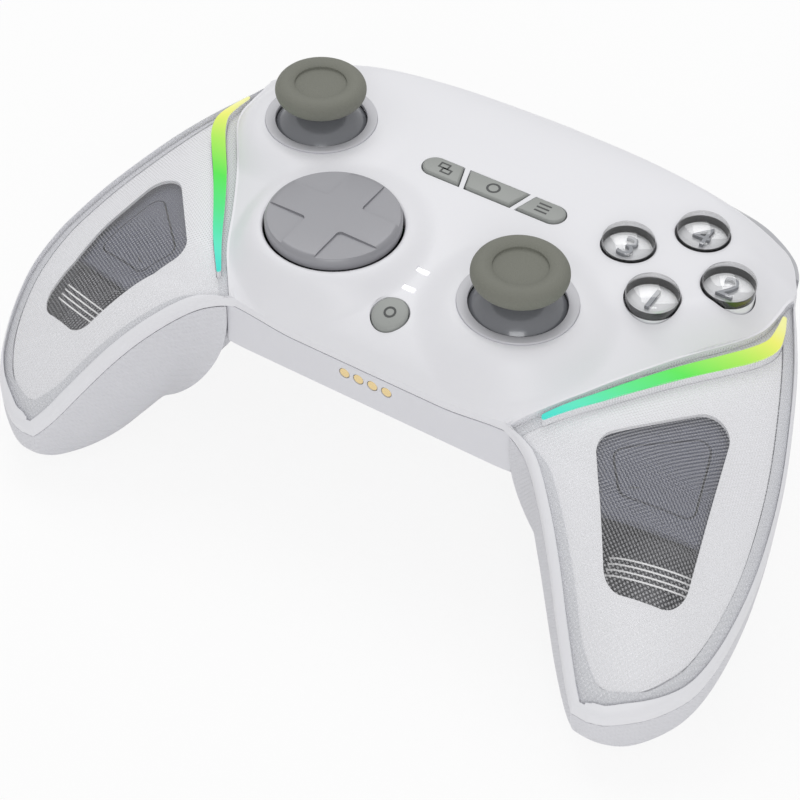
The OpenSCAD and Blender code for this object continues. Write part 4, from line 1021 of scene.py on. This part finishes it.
glass_line = [(0.02, -1.6), (4.7, -1.6), (4.9, -1.5), (4.9, 0.55), (4.86, 0.85), (4.72, 1.15), (4.4, 1.5),
              (3.7, 1.9), (2.6, 2.22), (1.3, 2.43), (0.02, 2.5)]
cup_line = [(0.02, -6.8), (5.5, -6.8), (5.5, -5.8), (4.9, -5.8), (4.9, -1.9), (4.7, -1.7), (0.02, -1.7)]
for number, (name, (bx, by)) in enumerate(buttons.items(), 1):
    at = (bx, by, 0)
    make(f"{name}_dome", lathe(glass_line, at), M["button_clear"], name, [f"{name}_button"])
    make(f"{name}_cup", lathe(cup_line, at), M["mark_pale"], name, ())
    # Dark ring inside each dome: painted dark reflection of the hole's far wall.
    make(f"{name}_wall", tube(4.72, 4.85, -1.7, -0.1, at, 96), M["button_painted_reflection"], name, ())
    flat_text(str(number), 7.4, 0.7, (bx, by, -1.3), M["mark_grey"], f"{name}_numeral", name)

# Menu bar with generic marks, and the round macro button
for i, name in ((-1, "view"), (0, "home"), (1, "menu")):
    ob = make(f"{name}_key", prism(bar_key(i, 0), -5.4, -0.4), M["menu_grey"], name, [f"{name}_button"])
    bevel(ob, 0.45, 4)


MARK_LOW, MARK_TOP = -0.42, -0.37


def marks(boxes):
    """Flat rectangles on a key."""
    return join(*[prism(box(*b), MARK_LOW, MARK_TOP) for b in boxes])


def outlined(x0, y0, x1, y1, t):
    """Four bars along the edges of a rectangle."""
    return [(x0, y0, x1, y0 + t), (x0, y1 - t, x1, y1), (x0, y0 + t, x0 + t, y1 - t),
            (x1 - t, y0 + t, x1, y1 - t)]


view = outlined(-12.2, BAR_Y - 0.2, -10.0, BAR_Y + 1.4, 0.35)
view += outlined(-11.2, BAR_Y - 1.4, -9.0, BAR_Y + 0.1, 0.35)
menu = [(9.4, BAR_Y + d - 0.2, 12.0, BAR_Y + d + 0.2) for d in (-1.05, 0, 1.05)]
home = tube(0.95, 1.4, MARK_LOW, MARK_TOP, (0, BAR_Y, 0))
make("view_mark", marks(view), M["icon_dark"], "view", ())
make("menu_mark", marks(menu), M["icon_dark"], "menu", ())
make("home_mark", home, M["icon_dark"], "home", ())
macro_at = (0, MACRO_Y, 0)
macro_line = [(0.02, -10.4), (4.15, -10.4), (4.15, -9.3), (MACRO_R, -9.3), (MACRO_R, -4.3), (3.28, -4.12),
              (3.1, -3.98), (2.8, -3.9), (0.02, -3.86)]
make("macro_key", slope(lathe(macro_line, macro_at)), M["menu_grey"], "macro", ["macro_button"])
make("macro_mark", slope(tube(0.75, 1.15, -3.9, -3.82, macro_at)), M["icon_dark"], "macro", ())

# Bumpers and rear keys
BUMP_OUT = [(34.5, 56.6), (37, 55.4), (39.7, 53.2), (42.6, 48.6), (45, 42), (46.2, 34)]
bumper_deck = deck(rows((35.2, 46, 40)), line_at(28.0), lambda y: curve(y, BUMP_OUT),
                   lambda x, y: bumper_top(x) - 0.12 * np.maximum(0, y - 43)**2,
                   lambda x, y: bumper_top(x) - 3.3 + 0.1 * np.maximum(0, y - 43)**2, 40)
pivot = lathe([(1.55, -30), (1.55, 10)], (31.4, 40.5, 0), 48)
for s, side in SIDES:
    bumper = make(f"{side}_bumper_bar", mirrored(bumper_deck, s), M["bumper_gloss"], f"{side}_bumper",
                  [f"{side}_bumper"])
    carve(bumper, [mirrored(pivot, s)], angle=40)
    key = make(f"{side}_key", mirrored(prism(key_plan(1.2), -32.4, -24.8), s), M["menu_grey"],
               f"{side}_rear_macro", [f"{side}_rear_button"])
    bevel(key, 0.6, 3)


# Studio: pale floor, soft light, camera at the photo's place
def pale_floor(half, z, white):
    """Floor that shows nearly white, with faint shadows."""
    mat = bpy.data.materials.new("floor")
    mat.use_nodes = True
    nt = mat.node_tree
    bsdf = nt.nodes["Principled BSDF"]
    bsdf.inputs["Base Color"].default_value = (0.93, 0.93, 0.93, 1)
    bsdf.inputs["Roughness"].default_value = 0.9
    path = nt.nodes.new("ShaderNodeLightPath").outputs
    seen = combine(nt, "MAXIMUM", path["Is Camera Ray"], path["Is Glossy Ray"])
    seen = combine(nt, "MAXIMUM", seen, path["Is Transmission Ray"])
    blend = nt.nodes.new("ShaderNodeMixShader")
    link(nt, combine(nt, "MULTIPLY", seen, white), blend.inputs[0])
    link(nt, bsdf.outputs[0], blend.inputs[1])
    link(nt, nt.nodes.new("ShaderNodeEmission").outputs[0], blend.inputs[2])
    link(nt, blend.outputs[0], nt.nodes["Material Output"].inputs["Surface"])
    me = bpy.data.meshes.new("floor")
    me.from_pydata([(x, y, z) for x, y in box(-half, -half, half, half)], [], [(0, 1, 2, 3)])
    floor = bpy.data.objects.new("floor", me)
    floor.data.materials.append(mat)
    bpy.context.scene.collection.objects.link(floor)


def white_world(light, shown):
    """White surroundings that light the part less than they show."""
    world = bpy.data.worlds.new("studio")
    bpy.context.scene.world = world
    world.use_nodes = True
    nt = world.node_tree
    ground = nt.nodes["Background"]
    ground.inputs["Color"].default_value = (1, 1, 1, 1)
    path = nt.nodes.new("ShaderNodeLightPath")
    level = nt.nodes.new("ShaderNodeMapRange")
    level.inputs["To Min"].default_value = light
    level.inputs["To Max"].default_value = shown
    link(nt, path.outputs["Is Camera Ray"], level.inputs["Value"])
    link(nt, level.outputs[0], ground.inputs["Strength"])


def softbox(name, at, aim, size, power):
    """Rectangular lamp that looks at a point."""
    data = bpy.data.lights.new(name, "AREA")
    data.energy = power
    data.shape = "RECTANGLE"
    data.size, data.size_y = size
    ob = bpy.data.objects.new(name, data)
    ob.location = at
    ob.rotation_euler = (Vector(aim) - Vector(at)).to_track_quat("-Z", "Y").to_euler()
    bpy.context.scene.collection.objects.link(ob)


pale_floor(3, -0.0005, 0.86)
white_world(0.55, 1.0)
softbox("key", (-0.25, 0.35, 0.75), (0, 0, 0.04), (0.6, 0.5), 2.4)
softbox("fill", (0.45, -0.75, 0.6), (0, 0, 0.04), (0.5, 0.5), 2.4)

# The camera, solved from the photo
cam = bpy.data.cameras.new("camera")
cam.sensor_width = 36
cam.lens = 87.75
cam.clip_start = 0.01
camera = bpy.data.objects.new("camera", cam)
right = Vector((0.844721, 0.535029, 0.013819))
up = Vector((-0.392512, 0.601744, 0.695585))
behind = Vector((0.363843, -0.593, 0.718311))
place = Matrix((right, up, behind)).transposed().to_4x4()
place.translation = Vector((0.134439, -0.231068, 0.285468))
camera.matrix_world = place
bpy.context.scene.collection.objects.link(camera)
bpy.context.scene.camera = camera
bpy.context.scene.view_settings.view_transform = "Standard"
